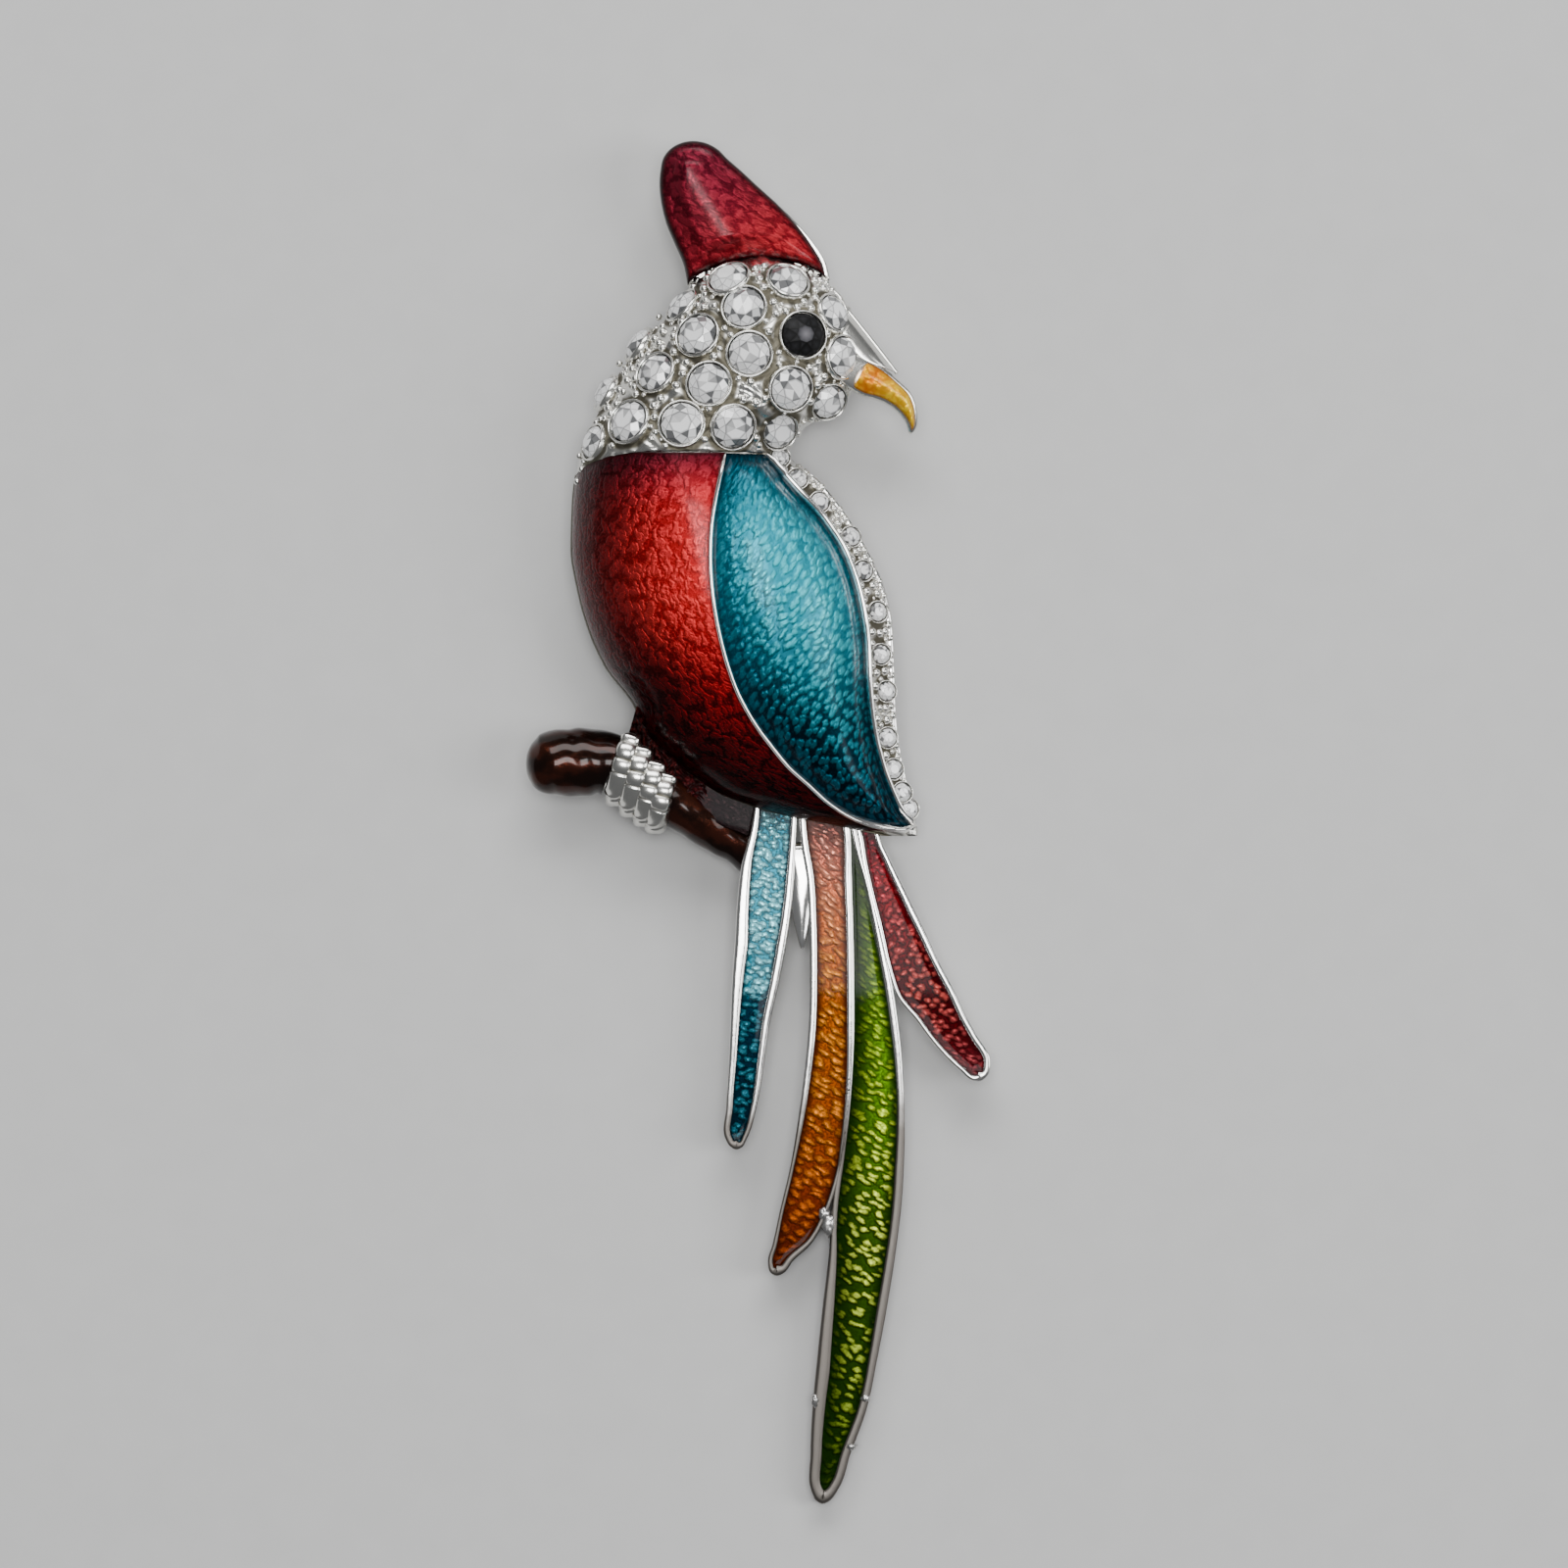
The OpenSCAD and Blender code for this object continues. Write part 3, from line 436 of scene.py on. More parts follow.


# translucent enamel over a worked metal floor: each stop is a place along the piece, the colour of the floor's
# tops, partly painted glints, and that of its hollows, darker as the enamel is deeper there, in thousandths;
# shade is painted shade over whole regions, and edge is the distance from the rims, whose dark line is deeper
# enamel and painted shade
def enamelMaterial(name, look):
    look = {**enamel, **look}
    material, tree, shader = newMaterial(name, {
        "Coat Weight": 1.0, "Coat Roughness": look["gloss"], "Coat IOR": look["coat"],
        "Specular IOR Level": 0.0, "Roughness": look["rough"]})
    floor = add(tree, "Group", {
        "Vector": attributeOf(tree, "flat", "Vector"), "Cells": look["cells"], "Stretch": look["stretch"],
        "Wander": look["wander"], "Turn": look["turn"]}, node_tree=hammeredFloor).outputs
    fine = calc(tree, "MULTIPLY", calc(tree, "SUBTRACT", floor["Fine"], 0.5), look["grain"])
    relief = calc(tree, "ADD", floor["Relief"], fine, clamp=True)
    along = attributeOf(tree, "along")
    stops = np.array(look["stops"]) / 1000
    bright, deep = (rampOf(tree, along, stops[:, [0, k, k + 1, k + 2]]) for k in (1, 4))
    # lighter tops are partly painted glints, darker hollows are deeper enamel
    worked = mixColour(tree, levelsOf(tree, relief, look["low"], look["high"]), deep, bright)
    dark = mixColour(tree, 1.0, worked, (*look["dark"], 1), "MULTIPLY")
    shade = calc(tree, "MULTIPLY_ADD", fine, 0.5, attributeOf(tree, "shade"), clamp=True)
    line = calc(tree, "MULTIPLY_ADD", fine, 0.25, attributeOf(tree, "edge"))
    edge = levelsOf(tree, line, 0.0, look["edgeWidth"])
    feed(tree, shader, {
        "Base Color": mixColour(tree, edge, (*look["edge"], 1), mixColour(tree, shade, dark, worked)),
        "Metallic": calc(tree, "MULTIPLY", edge, look["metal"]),
        "Normal": bumpOf(tree, look["bump"], look["relief"], relief)})
    return material


silver = plateMaterial("silverPlate", (0.78, 0.77, 0.73), (0.12, 0.11, 0.083), 0.16, 0.35)
brightSilver = plateMaterial("polishedRim", (0.9, 0.89, 0.87), (0.17, 0.155, 0.14), 0.08, 0.12)


# metal piece, which stands for the casting
def makeMetal(name, parts, material=silver):
    makePiece(name, parts, material, ["casting"])


# enamel between a top and an underside; its pattern lies over the top unless flat is given
def makeEnamel(name, material, top, low, edge, shade=1.0, along=None, flat=None, node=None):
    along = columnOf(0, 1, len(top)) if along is None else along
    part = slabPart(top, low, edge=edge, shade=shade, along=along, flat=flatMap(top if flat is None else flat))
    makePiece(name, [part], material, [node or name])


# body, shared by every piece that lies on it
body = {
    "backHeight": 3.0, "rise": 6.2, "wall": 1.4, "floorDepth": 0.55, "lipRise": 1.0,
    "rumpEnd": -9, "crownEnd": 417, "hollowStart": 26, "hollowEnd": 396, "hollowRound": 14,
    "collarPlace": 271, "collarDip": 18,
    # place along, left side, right side (thousandths), share of the rise
    "rows": [
        (-9, 266, 342, 0.28), (-4, 198, 342, 0.33), (1, 125, 339, 0.37), (7, 38, 335, 0.42),
        (14, -31, 330, 0.47), (22, -93, 325, 0.52), (32, -138, 318, 0.575), (43, -181, 310, 0.63),
        (54, -214, 305, 0.685), (65, -245, 300, 0.74), (87, -270, 295, 0.83), (115, -331, 293, 0.92),
        (144, -369, 289, 0.97), (173, -392, 272, 1), (202, -405, 234, 1), (231, -403, 181, 0.98),
        (253, -397, 127, 0.95), (272, -380, 66, 0.92), (289, -363, 93, 0.91), (303, -344, 160, 0.91),
        (317, -323, 198, 0.9), (339, -281, 222, 0.87), (357, -241, 217, 0.84), (375, -192, 198, 0.79),
        (390, -156, 167, 0.72), (398, -137, 143, 0.64), (407, -99, 110, 0.5), (414, -46, 59, 0.32),
        (417, -13, 30, 0.2)],
}
bodyTable = np.array(body["rows"], float)
back = body["backHeight"]


# middle and half width of the body at a station: half the sum and half the gap of its sides
def bodySides(s):
    left, right = (acrossOf(smoothTable(bodyTable[:, 0], bodyTable[:, k], s)) for k in (1, 2))
    return (left + right) / 2, (right - left) / 2


# height of the skin over the flat back at a station: its share of the full rise
def riseOf(s):
    return body["rise"] * smoothTable(bodyTable[:, 0], bodyTable[:, 3], s)


# body skin: at station s a half ellipse over the flat back, turn 180 on the left to 0 on the right
def skin(s, turn, inset=0.0):
    s, turn = np.broadcast_arrays(np.asarray(s, float), np.radians(turn))
    middle, half = bodySides(s)
    return np.stack([middle + (half - inset) * np.cos(turn), alongOf(s),
                     back + np.maximum(riseOf(s) - inset, 0.02) * np.sin(turn)], -1)


# turn at which the skin lies over x: arccos of the share of the half width
def turnAt(s, x):
    middle, half = bodySides(s)
    return np.degrees(np.arccos(np.clip((x - middle) / half, -0.985, 0.985)))


# point of the skin over a place of the plan and the direction it faces there, leaned to upright
def onSkin(places, lean=0.0, lift=0.0):
    places = np.atleast_2d(np.asarray(places, float))
    x, s = acrossOf(places[:, 0]), places[:, 1]
    turn = turnAt(s, x)
    across = skin(s, turn - 1) - skin(s, turn + 1)
    along = skin(s + 6, turnAt(s + 6, x)) - skin(s - 6, turnAt(s - 6, x))
    lean = np.broadcast_to(np.asarray(lean, float), x.shape)[:, None]
    normal = unitOf(blendOf(unitOf(np.cross(across, along)), np.array([0, 0, 1.0]), lean))
    return np.stack([x, alongOf(s), skin(s, turn)[:, 2]], -1) + normal * lift, normal


# station of the collar at a turn, and turn of the bare lip's upper edge at a station
def collarAt(turn):
    return body["collarPlace"] - body["collarDip"] * np.maximum(0, (turn - 112) / 68) ** 1.6


def lipTurn(s):
    return 180 - np.degrees(np.arcsin(np.minimum(0.98, body["lipRise"] / riseOf(s))))


# stones: across, along (thousandths), size as a share of the full size, lean toward upright
stones = {
    "size": 2.65, "eyeSize": 2.7, "backSize": 1.15, "lift": 0.12, "eyeLift": 0.2, "backLift": 0.1,
    "eyeLean": 0.2, "backLean": 0.6,
    # heights as shares of a stone's size, and rings as shares of its radius
    "crown": 0.2, "girdle": 0.02, "pavilion": 0.3, "table": 0.56, "eyeTable": 0.4, "shoulder": 0.8,
    "lowRing": 0.42, "bezelWidth": 0.2, "bezelHigh": 0.32, "bezelGap": 0.05, "bezelSunk": 0.16,
    "cupDepth": 0.95, "cupShare": 0.36, "cupWall": (-0.02, 0.14), "cupReach": 1.4, "darkAway": 0.3,
    # table, stars, kites, girdle facets and the rest: share of dark ones and how dark they are, as painted
    # reflection;
    # seenDark: share of table pieces painted dark, the pavilion seen through
    "darkShares": (0, 0.3, 0.18, 0.35, 0.35), "darkTones": (0.8, 0.12, 0.15, 0.08, 0.15), "seenDark": 0.3,
    "rows": [
        (-63, 398, 0.91, 0), (63, 396, 0.91, 0), (-30, 376, 0.95, 0), (-163, 379, 0.84, 0),
        (160, 373, 0.84, 0), (-129, 356, 0.96, 0), (-257, 351, 0.84, 0), (-19, 342, 0.97, 0),
        (178, 341, 0.93, 0), (-219, 329, 0.91, 0), (-105, 320, 0.96, 0), (68, 317, 0.98, 0),
        (150, 309, 0.82, 0.4), (-327, 316, 0.82, 0), (-276, 293, 0.98, 0), (-163, 291, 0.98, 0),
        (-54, 289, 0.98, 0), (44, 287, 0.82, 0.4), (-352, 279, 0.78, 0)],
    "eye": (94, 356),
    "backRows": [(46, 268), (84, 252), (131, 235), (198, 210), (224, 185), (255, 155), (262, 124),
                 (274, 97), (276, 63), (289, 40), (308, 23), (323, 11)],
}
stoneTable = np.array(stones["rows"], float)
placed = [onSkin(stoneTable[:, :2], stoneTable[:, 3], stones["lift"]),
          onSkin(stones["eye"], stones["eyeLean"], stones["eyeLift"]),
          onSkin(stones["backRows"], stones["backLean"], stones["backLift"])]
stoneSizes = [stones["size"] * stoneTable[:, 2], np.array([stones["eyeSize"]]),
              np.full(len(stones["backRows"]), stones["backSize"])]
allPoints, allNormals = (np.vstack([p[k] for p in placed]) for k in (0, 1))
allSizes = np.concatenate(stoneSizes)


# rings of a brilliant as x, y, height, and its faces; the crown kites are flat because their
# shoulders lie in the plane from the table's corner to the girdle, and the same below
def brilliant(size, tableShare):
    radius = size / 2
    crown, girdle, depth = (size * stones[k] for k in ("crown", "girdle", "pavilion"))
    table, shoulder, low = (radius * k for k in (tableShare, stones["shoulder"], stones["lowRing"]))
    corner, between = np.radians(22.5 + 45 * np.arange(8)), np.radians(45 * np.arange(8))
    edge = np.radians(22.5 * np.arange(16))
    drop = (crown - girdle) / (radius - table)
    slant = np.cos(np.radians(22.5))
    rings = [(table, corner, crown), (shoulder, between, crown - (shoulder * slant - table) * drop),
             (radius, edge, girdle), (radius, edge, -girdle),
             (low, between, -girdle - (radius - low * slant) * (depth - girdle) / radius)]
    points = np.vstack([np.stack([r * np.cos(t), r * np.sin(t), 0 * t + h], -1) for r, t, h in rings]
                       + [[[0, 0, -depth]]])
    # first point numbers of the shoulders, upper and lower girdle and lower ring, then the culet
    m, g, b, p, culet = 8, 16, 32, 48, 56
    k, n = np.arange(8), np.arange(16)
    after, before = (k + 1) % 8, (k - 1) % 8
    glass = [(before, m + k, k), (k, m + k, g + 2 * k + 1, m + after), (m + k, g + 2 * k, g + 2 * k + 1),
             (m + k, g + (2 * k - 1) % 16, g + 2 * k), (g + n, b + n, b + (n + 1) % 16, g + (n + 1) % 16)]
    foil = [(b + 2 * k + 1, p + k, culet + 0 * k, p + after), (p + k, b + 2 * k + 1, b + 2 * k),
            (p + k, b + 2 * k, b + (2 * k - 1) % 16)]
    glass, foil = ([face for kind in kinds for face in np.stack(kind, -1).tolist()] for kinds in (glass, foil))
    return points, [list(range(8))] + glass, foil


# one object of flat faced stones; the crown takes the first material and the foil the second;
# each face is a fan about its middle, so the attribute facet runs from 0 on its edges to 1 there,
# and each face has a painted reflection tone, light or dark
def makeStones(name, which, materials, nodes, tableShare=stones["table"]):
    (points, normals), sizes = placed[which], stoneSizes[which]
    draw = np.random.default_rng(7)
    spins = draw.uniform(0, np.pi / 4, len(points))
    corners, faces, kinds, tones, inside, start = [], [], [], [], [], 0
    for centre, normal, size, spin in zip(points, normals, sizes, spins):
        local, glass, foil = brilliant(size, tableShare)
        counts = [1, 8, 8, 16, len(glass) - 33 + len(foil)]
        dark, least = np.repeat([stones["darkShares"], stones["darkTones"]], counts, 1)
        shades = np.where(draw.uniform(size=len(dark)) < dark, least, draw.uniform(0.85, 1.0, len(dark)))
        # table pieces painted darker, as the pavilion seen through
        through = np.where(draw.uniform(size=8) < stones["seenDark"], draw.uniform(0.2, 0.7, 8), 1.0)
        middles = np.array([local[f].mean(0) for f in glass + foil])
        corners.append(centre + np.vstack([local, middles]) @ frameOf(normal, spin))
        inside.append(np.repeat([0.0, 1.0], [len(local), len(middles)]))
        for k, (face, facetShade) in enumerate(zip(glass + foil, shades)):
            middle = start + len(local) + k
            faces += [[a + start, b + start, middle] for a, b in zip(face, face[1:] + face[:1])]
            kinds += [int(k >= len(glass))] * len(face)
            tones += list(through) if k == 0 else [facetShade] * len(face)
        start += len(local) + len(middles)
    mesh = bpy.data.meshes.new(name)
    mesh.from_pydata(np.vstack(corners) * mm, [], faces)
    mesh.polygons.foreach_set("material_index", np.array(kinds, np.int32))
    for key, domain, values in (("facetShade", "FACE", np.array(tones)), ("facet", "POINT", np.concatenate(inside))):
        mesh.attributes.new(key, "FLOAT", domain).data.foreach_set("value", values.astype(np.float32))
    return addPiece(name, mesh, materials, nodes)


# cut glass whose base colour runs from dark to light by a value or by how far inside a facet it is: painted
# reflection and shade, dark on the facets' edges
def glassMaterial(name, sockets, dark, light, edges=None, share=1.0):
    material, tree, shader = newMaterial(name, sockets)
    facetShade = attributeOf(tree, "facet")
    if edges:
        line = calc(tree, "MULTIPLY_ADD", levelsOf(tree, facetShade, *edges), share, 1 - share)
        facetShade = calc(tree, "MULTIPLY", attributeOf(tree, "facetShade"), line)
    feed(tree, shader, {"Base Color": rampOf(tree, facetShade, [(0.0, *dark), (1.0, *light)])})
    return material, tree, shader


# painted reflection: each face shows its own painted tone, and the edges between faces are painted dark, as cut
# glass looks
stoneGlass, *_ = glassMaterial("clearStone", {"Roughness": 0.0, "IOR": 1.9, "Transmission Weight": 0.12},
                               (0.02, 0.022, 0.025), (1.0, 1.0, 1.0), (0.02, 0.22), 0.62)
stoneFoil, *_ = glassMaterial("stoneFoil", {"Metallic": 0.7, "Roughness": 0.12},
                              (0.05, 0.05, 0.055), (1.0, 1.0, 1.0), (0.0, 0.35))
blackGlass, *_ = glassMaterial("blackEye", {"IOR": 1.45, "Specular IOR Level": 0.25},
                               (0.0, 0.0, 0.0), (0.012, 0.012, 0.014))
# grey table on the black eye: a painted reflection
eyeTableSheenGlass, tree, shader = glassMaterial("eyeTable", {"IOR": 1.5}, (0.02, 0.02, 0.025), (0.16, 0.155, 0.17))
feed(tree, shader, {"Roughness": calc(tree, "MULTIPLY", noiseOf(tree, placeOf(tree), 1500.0)[0], 0.4)})

makeStones("head_stones", 0, [stoneGlass, stoneFoil],
           [f"head_stone_{k:02d}" for k in range(1, 20)])
makeStones("back_stones", 2, [stoneGlass, stoneFoil],
           [f"back_stone_{k:02d}" for k in range(1, 13)])
eye = makeStones("eye", 1, [blackGlass, blackGlass, eyeTableSheenGlass], ["eye_stone"],
                 stones["eyeTable"])
# the table faces take the painted reflection
tableFaces = np.arange(len(eye.data.polygons)) < 8
eye.data.polygons.foreach_set("material_index", np.where(tableFaces, 2, 0).astype(np.int32))
print("stones set")


# depth of the cups under the stones: full inside each girdle, nothing outside its bezel
def cupDepth(points):
    depth = np.zeros(points.shape[:-1])
    for centre, normal, size in zip(allPoints, allNormals, allSizes):
        away = points - centre
        high = away @ normal
        radial = np.linalg.norm(away - high[..., None] * normal, axis=-1)
        reach = 1 - easeOf(radial, *(size / 2 + wall for wall in stones["cupWall"]))
        full = min(stones["cupDepth"], size * stones["cupShare"])
        depth = np.maximum(depth, (np.abs(high) < stones["cupReach"]) * reach * full)
    return depth


# tarnish and painted shade between the settings: high close outside a bezel, fading away from it
def tarnishAndShadeNear(points):
    near = np.full(points.shape[:-1], 9.0)
    for centre, size in zip(allPoints, allSizes):
        away = np.linalg.norm(points - centre, axis=-1) - size / 2
        near = np.minimum(near, np.abs(away - stones["darkAway"]))
    return 1 - easeOf(near, 0.05, 0.6)


# head: stations run from the collar to the crown, turns from left to right, with low lumps
turns = rowOf(179.6, 0.4, 210)
stations = blendOf(collarAt(turns), body["crownEnd"], columnOf(0, 1, 180) ** 0.8)
head = skin(stations, turns)
x, y = head[..., 0], head[..., 1]
lumps = 0.084 * np.sin(x * 5.1 + 1.3 * np.sin(y * 3.7)) * np.sin(y * 4.6 + np.sin(x * 2.9))
headTop = head + gridNormal(head) * (lumps - cupDepth(head))[..., None]
makeMetal("head_metal", [slabPart(headTop, skin(stations, turns, 1.25), grime=tarnishAndShadeNear(head))])

# base dome under the enamel, hollow at the back: outer half ellipse, then the hollow's
s = columnOf(body["rumpEnd"], body["crownEnd"], 110)
t = rowOf(180, 0, 60)
middle, half = bodySides(s)
closing = np.sqrt(np.clip((s - body["hollowStart"]) / body["hollowRound"], 0, 1)
                  * np.clip((body["hollowEnd"] - s) / body["hollowRound"], 0, 1))
hollowHalf, hollowRise = (np.maximum(size - body["wall"], 0.01) * closing for size in (half, riseOf(s)))
hollow = np.stack([middle + hollowHalf * np.cos(np.radians(t)), alongOf(s) + 0 * t,
                   back + hollowRise * np.sin(np.radians(t))], -1)
metalParts = [slabPart(skin(s, t, body["floorDepth"]), hollow, grime=0.35)]

# wing rims: place along and across (thousandths)
wing = {
    "left": [(-1, 336), (-4, 315), (-3, 283), (1, 234), (8, 186), (18, 143), (29, 108), (43, 63), (58, 27),
             (76, -11), (101, -49), (130, -76), (159, -93), (188, -101), (216, -99), (245, -86), (270, -70)],
    "right": [(-2, 338), (2, 326), (9, 308), (25, 285), (47, 262), (72, 245), (101, 236), (133, 232),
              (166, 217), (195, 190), (220, 146), (245, 80), (270, 17)],
    "rimWidth": 0.4, "rimProud": 0.25, "edgeTurn": 13.0, "edgeWidth": 0.3, "edgeProud": 0.12,
    "swell": 0.5, "step": 0.35, "deepLine": 0.12,
}
leftPlan, rightPlan = (smoothLine(np.array(wing[k], float)[:, ::-1], 260) for k in ("left", "right"))
leftRim, rightRim = onSkin(leftPlan), onSkin(rightPlan)


# turn of a wing rim at a station
def rimTurn(plan, s):
    order = np.argsort(plan[:, 1])
    return turnAt(s, acrossOf(np.interp(s, plan[order, 1], plan[order, 0])))


# band behind the wing, a shallow channel, and the bare lip along the breast
s, f = columnOf(body["rumpEnd"], 274, 200), rowOf(0, 1, 26)
turn = blendOf(rimTurn(rightPlan, s), 0.4, f)
band = skin(s, turn)
channel = 0.1 * np.sin(np.pi * f) ** 0.5
bandTop = band - gridNormal(band) * (channel + cupDepth(band))[..., None]
metalParts.append(slabPart(bandTop, skin(s, turn, 1.1), grime=0.25 + 0.75 * tarnishAndShadeNear(band)))
s = columnOf(body["rumpEnd"], 256, 120)
turn = blendOf(179.6, lipTurn(s), rowOf(0, 1, 5))
# the bare lip is painted dark: painted shade at the body's steep edge
metalParts.append(slabPart(skin(s, turn), skin(s, turn, 0.95), grime=1.4))
makeMetal("body_metal", metalParts)

# bezels: a low round wall about every stone
settings = []
circle = columnOf(0, 2 * np.pi, 49)
for centre, normal, size in zip(allPoints, allNormals, allSizes):
    share = 0.6 if size < 2 else 1.0
    across, along, up = frameOf(normal)
    outward = (np.cos(circle) * across + np.sin(circle) * along)[:, None]
    reach = size / 2 + stones["bezelWidth"] * share / 2 + stones["bezelGap"]
    profile = ovalProfile(stones["bezelWidth"] * share / 2, stones["bezelHigh"] * share ** 0.5, -0.05, 10)[None]
    ring = centre + outward * (reach + profile[..., :1]) + up * (profile[..., 1:] - stones["bezelSunk"])
    settings.append(gridPart(ring, True, grime=0.12))

# grains: measured ones first, then the biggest that still fit at random places
grains = {
    "size": 0.3, "least": 0.11, "tries": 900,
    "rows": [(-114, 387), (17, 366), (-72, 361), (-82, 346), (44, 343), (-42, 324), (124, 328), (-105, 302),
             (-219, 285), (-215, 372), (-300, 338), (-283, 333), (-329, 297), (-312, 276), (-386, 270),
             (-380, 260), (-390, 251), (-198, 275)],
}
draw = np.random.default_rng(11)


# a grain fills the room to the next bezel and the next grain, up to the full size; three rounds
# take ever smaller ones, and measured places come first
def addGrains(measured, s, turn, lean=0.0):
    loose = np.stack([shareAcross(skin(s, turn)[:, 0]), s], -1)
    candidates = list(zip(*onSkin(np.array([*measured, *loose]), lean)))
    grown, full = np.zeros((0, 4)), grains["size"]
    for least in (full * 0.85, full * 0.6, grains["least"]):
        for k, (place, up) in enumerate(candidates):
            known = k < len(measured)
            room = np.min(np.linalg.norm(allPoints - place, axis=1) - allSizes / 2) - stones["bezelWidth"]
            if len(grown):
                room = min(room, np.min(np.linalg.norm(grown[:, :3] - place, axis=1) - grown[:, 3]) - 0.02)
            radius = full * 0.8 if known and least > full * 0.8 else min(room, full)
            if radius >= least * (0.9 if known else 1):
                grown = np.vstack([grown, [*place, radius]])
                settings.append(ballPart(place - up * radius * 0.1, radius, up, 0.95, 8, 12))


turn = draw.uniform(8, 172, grains["tries"])
s = blendOf(collarAt(turn) + 3, 408, draw.uniform(0, 1, grains["tries"]) ** 0.85)
addGrains(grains["rows"], s, turn)
s = draw.uniform(2, 262, grains["tries"])
turn = blendOf(rimTurn(rightPlan, s) - 2, 12, draw.uniform(0, 1, grains["tries"]))
addGrains([], s, turn, 0.3)
makeMetal("settings", settings)
print("body metal made")


# half round wire lying on the skin, thin at both ends
def skinWire(point, up, width, proud, ends=0.04):
    f = np.linspace(0, 1, len(point))
    scale = np.minimum(1, np.minimum(f, 1 - f) / ends + 0.3)
    return tubePart(point, up, ovalProfile(width / 2, proud + 0.2, -0.12), scale)


edgeStations = np.linspace(4, 262, 200)
edgePoint = skin(edgeStations, wing["edgeTurn"])
edgeUp = unitOf(edgePoint - skin(edgeStations, wing["edgeTurn"], 1.0))
rims = [skinWire(*rim, wing["rimWidth"], wing["rimProud"]) for rim in (leftRim, rightRim)]
rims.append(skinWire(edgePoint, edgeUp, wing["edgeWidth"], wing["edgeProud"]))
makeMetal("wing_rims", rims, brightSilver)

# breast enamel: from the lip to the wing's left rim, up to the collar
breastLook = {
    "cells": 1.8, "stretch": (1.3, 0.6, 1), "wander": 1.6, "grain": 1.3, "low": -0.1, "high": 0.75,
    "stops": [(0, 220, 3, 7, 15, 0, 1), (350, 400, 8, 12, 90, 0, 2), (600, 740, 36, 36, 420, 8, 10),
              (850, 600, 26, 30, 300, 5, 8), (1000, 250, 20, 40, 120, 5, 12)],
    "dark": (0.07, 0.1, 0.13), "edge": (0.02, 0.001, 0.002), "edgeWidth": 0.4, "metal": 0.72, "bump": 0.5,
    "gloss": 0.14, "coat": 1.22,
}
v = np.concatenate([np.linspace(-5, 30, 40)[:-1], np.linspace(30, 271, 150)])[:, None]
f = rowOf(0, 1, 110)
first = lipTurn(v) - 0.5
turn = blendOf(first, np.minimum(rimTurn(leftPlan, v), first - 0.5), f)
v = np.minimum(v, collarAt(turn) - 0.6)
first = lipTurn(v) - 0.5
turn = blendOf(first, np.minimum(rimTurn(leftPlan, v), first - 0.5), f)
breast = skin(v, turn)
collarGap = alongOf(collarAt(turn)) - breast[..., 1]
# painted shade darkens the lip side, the band under the collar and the bottom; the edge line along the collar
# is a painted shadow under the head
shade = (easeOf(distanceTo(breast, breast[:, 0]), 0.3, 7.2) * easeOf(collarGap, -0.6, 2.4)
         * (0.3 + 0.7 * easeOf(breast[..., 1], 2.0, 13.0)))
makeEnamel("breast_enamel", enamelMaterial("breastEnamel", breastLook), breast,
           skin(v, turn, 0.45), np.minimum(distanceTo(breast, leftRim[0]), collarGap * 1.2),
           0.04 + 0.96 * shade,
           np.clip(shareAlong(breast[..., 1]) / 271, 0, 1))

# wing enamel: a deep line along the rims, a step up and a raised middle
wingLook = {
    "cells": 1.7, "stretch": (1.0, 1.25, 1), "wander": 0.6, "grain": 0.9, "low": 0.0, "high": 0.8,
    "stops": [(0, 6, 130, 180, 0, 10, 20), (280, 20, 340, 400, 0, 40, 60), (550, 40, 500, 580, 12, 240, 310),
              (800, 40, 460, 550, 16, 290, 380), (1000, 8, 130, 200, 1, 50, 80)],
    "dark": (0.05, 0.2, 0.28), "edge": (0.0, 0.008, 0.014), "edgeWidth": 1.0, "metal": 0.75, "bump": 0.7,
    "gloss": 0.14, "coat": 1.15,
}
v = np.concatenate([np.linspace(-4.5, 20, 60)[:-1], np.linspace(20, 270, 190)])[:, None]
f = rowOf(0, 1, 120)
first = rimTurn(leftPlan, v)
turn = blendOf(first, np.minimum(rimTurn(rightPlan, v), first - 0.2), f)
flatWing = skin(v, turn)
rimGap = np.minimum(distanceTo(flatWing, leftRim[0]), distanceTo(flatWing, rightRim[0]))
inner = np.minimum(rimGap, alongOf(271) - flatWing[..., 1])
raised = (wing["swell"] * np.sin(np.pi * f) * easeOf(inner, 0, 3) + wing["step"] * easeOf(inner, 0.35, 1.25)
          - wing["deepLine"])
shade = (easeOf(flatWing[..., 1] * 0.9 + flatWing[..., 0] * 1.1, 5.0, 18.0)
         * (0.45 + 0.55 * easeOf(inner, 0.8, 2.6)))
makeEnamel("wing_enamel", enamelMaterial("wingEnamel", wingLook),
           flatWing + gridNormal(flatWing) * raised[..., None], skin(v, turn, 0.45), inner, 0.1 + 0.9 * shade,
           np.clip(shareAlong(flatWing[..., 1]) / 271, 0, 1), flatWing)
print("body enamel made")

# tail feathers
tail = {
    "thick": 1.7, "depth": 0.65, "rootLevel": 0.7, "drop": 0.12, "climb": 0.03, "climbWidth": 0.45,
    "darkReflection": 1.0, "darkReflectionFrom": 13, "darkReflectionTo": 22, "tipRim": 0.3, "tipRound": 0.2, "burrHigh": 0.3, "count": 260,
    "finish": {"bump": 0.75, "relief": 0.00026},
    # web between the first two feathers: across, along (thousandths)
    "web": [(66, -14), (71, -62), (95, -93), (110, -70), (104, -14)],
    # casting burrs left on the rims: across, along (thousandths), size across, size along (mm)
    "burrs": [(150, -295, 0.5, 0.75), (141, -287, 0.4, 0.5), (230, -423, 0.34, 0.3), (200, -459, 0.36, 0.26),
              (122, -425, 0.28, 0.5)],
}
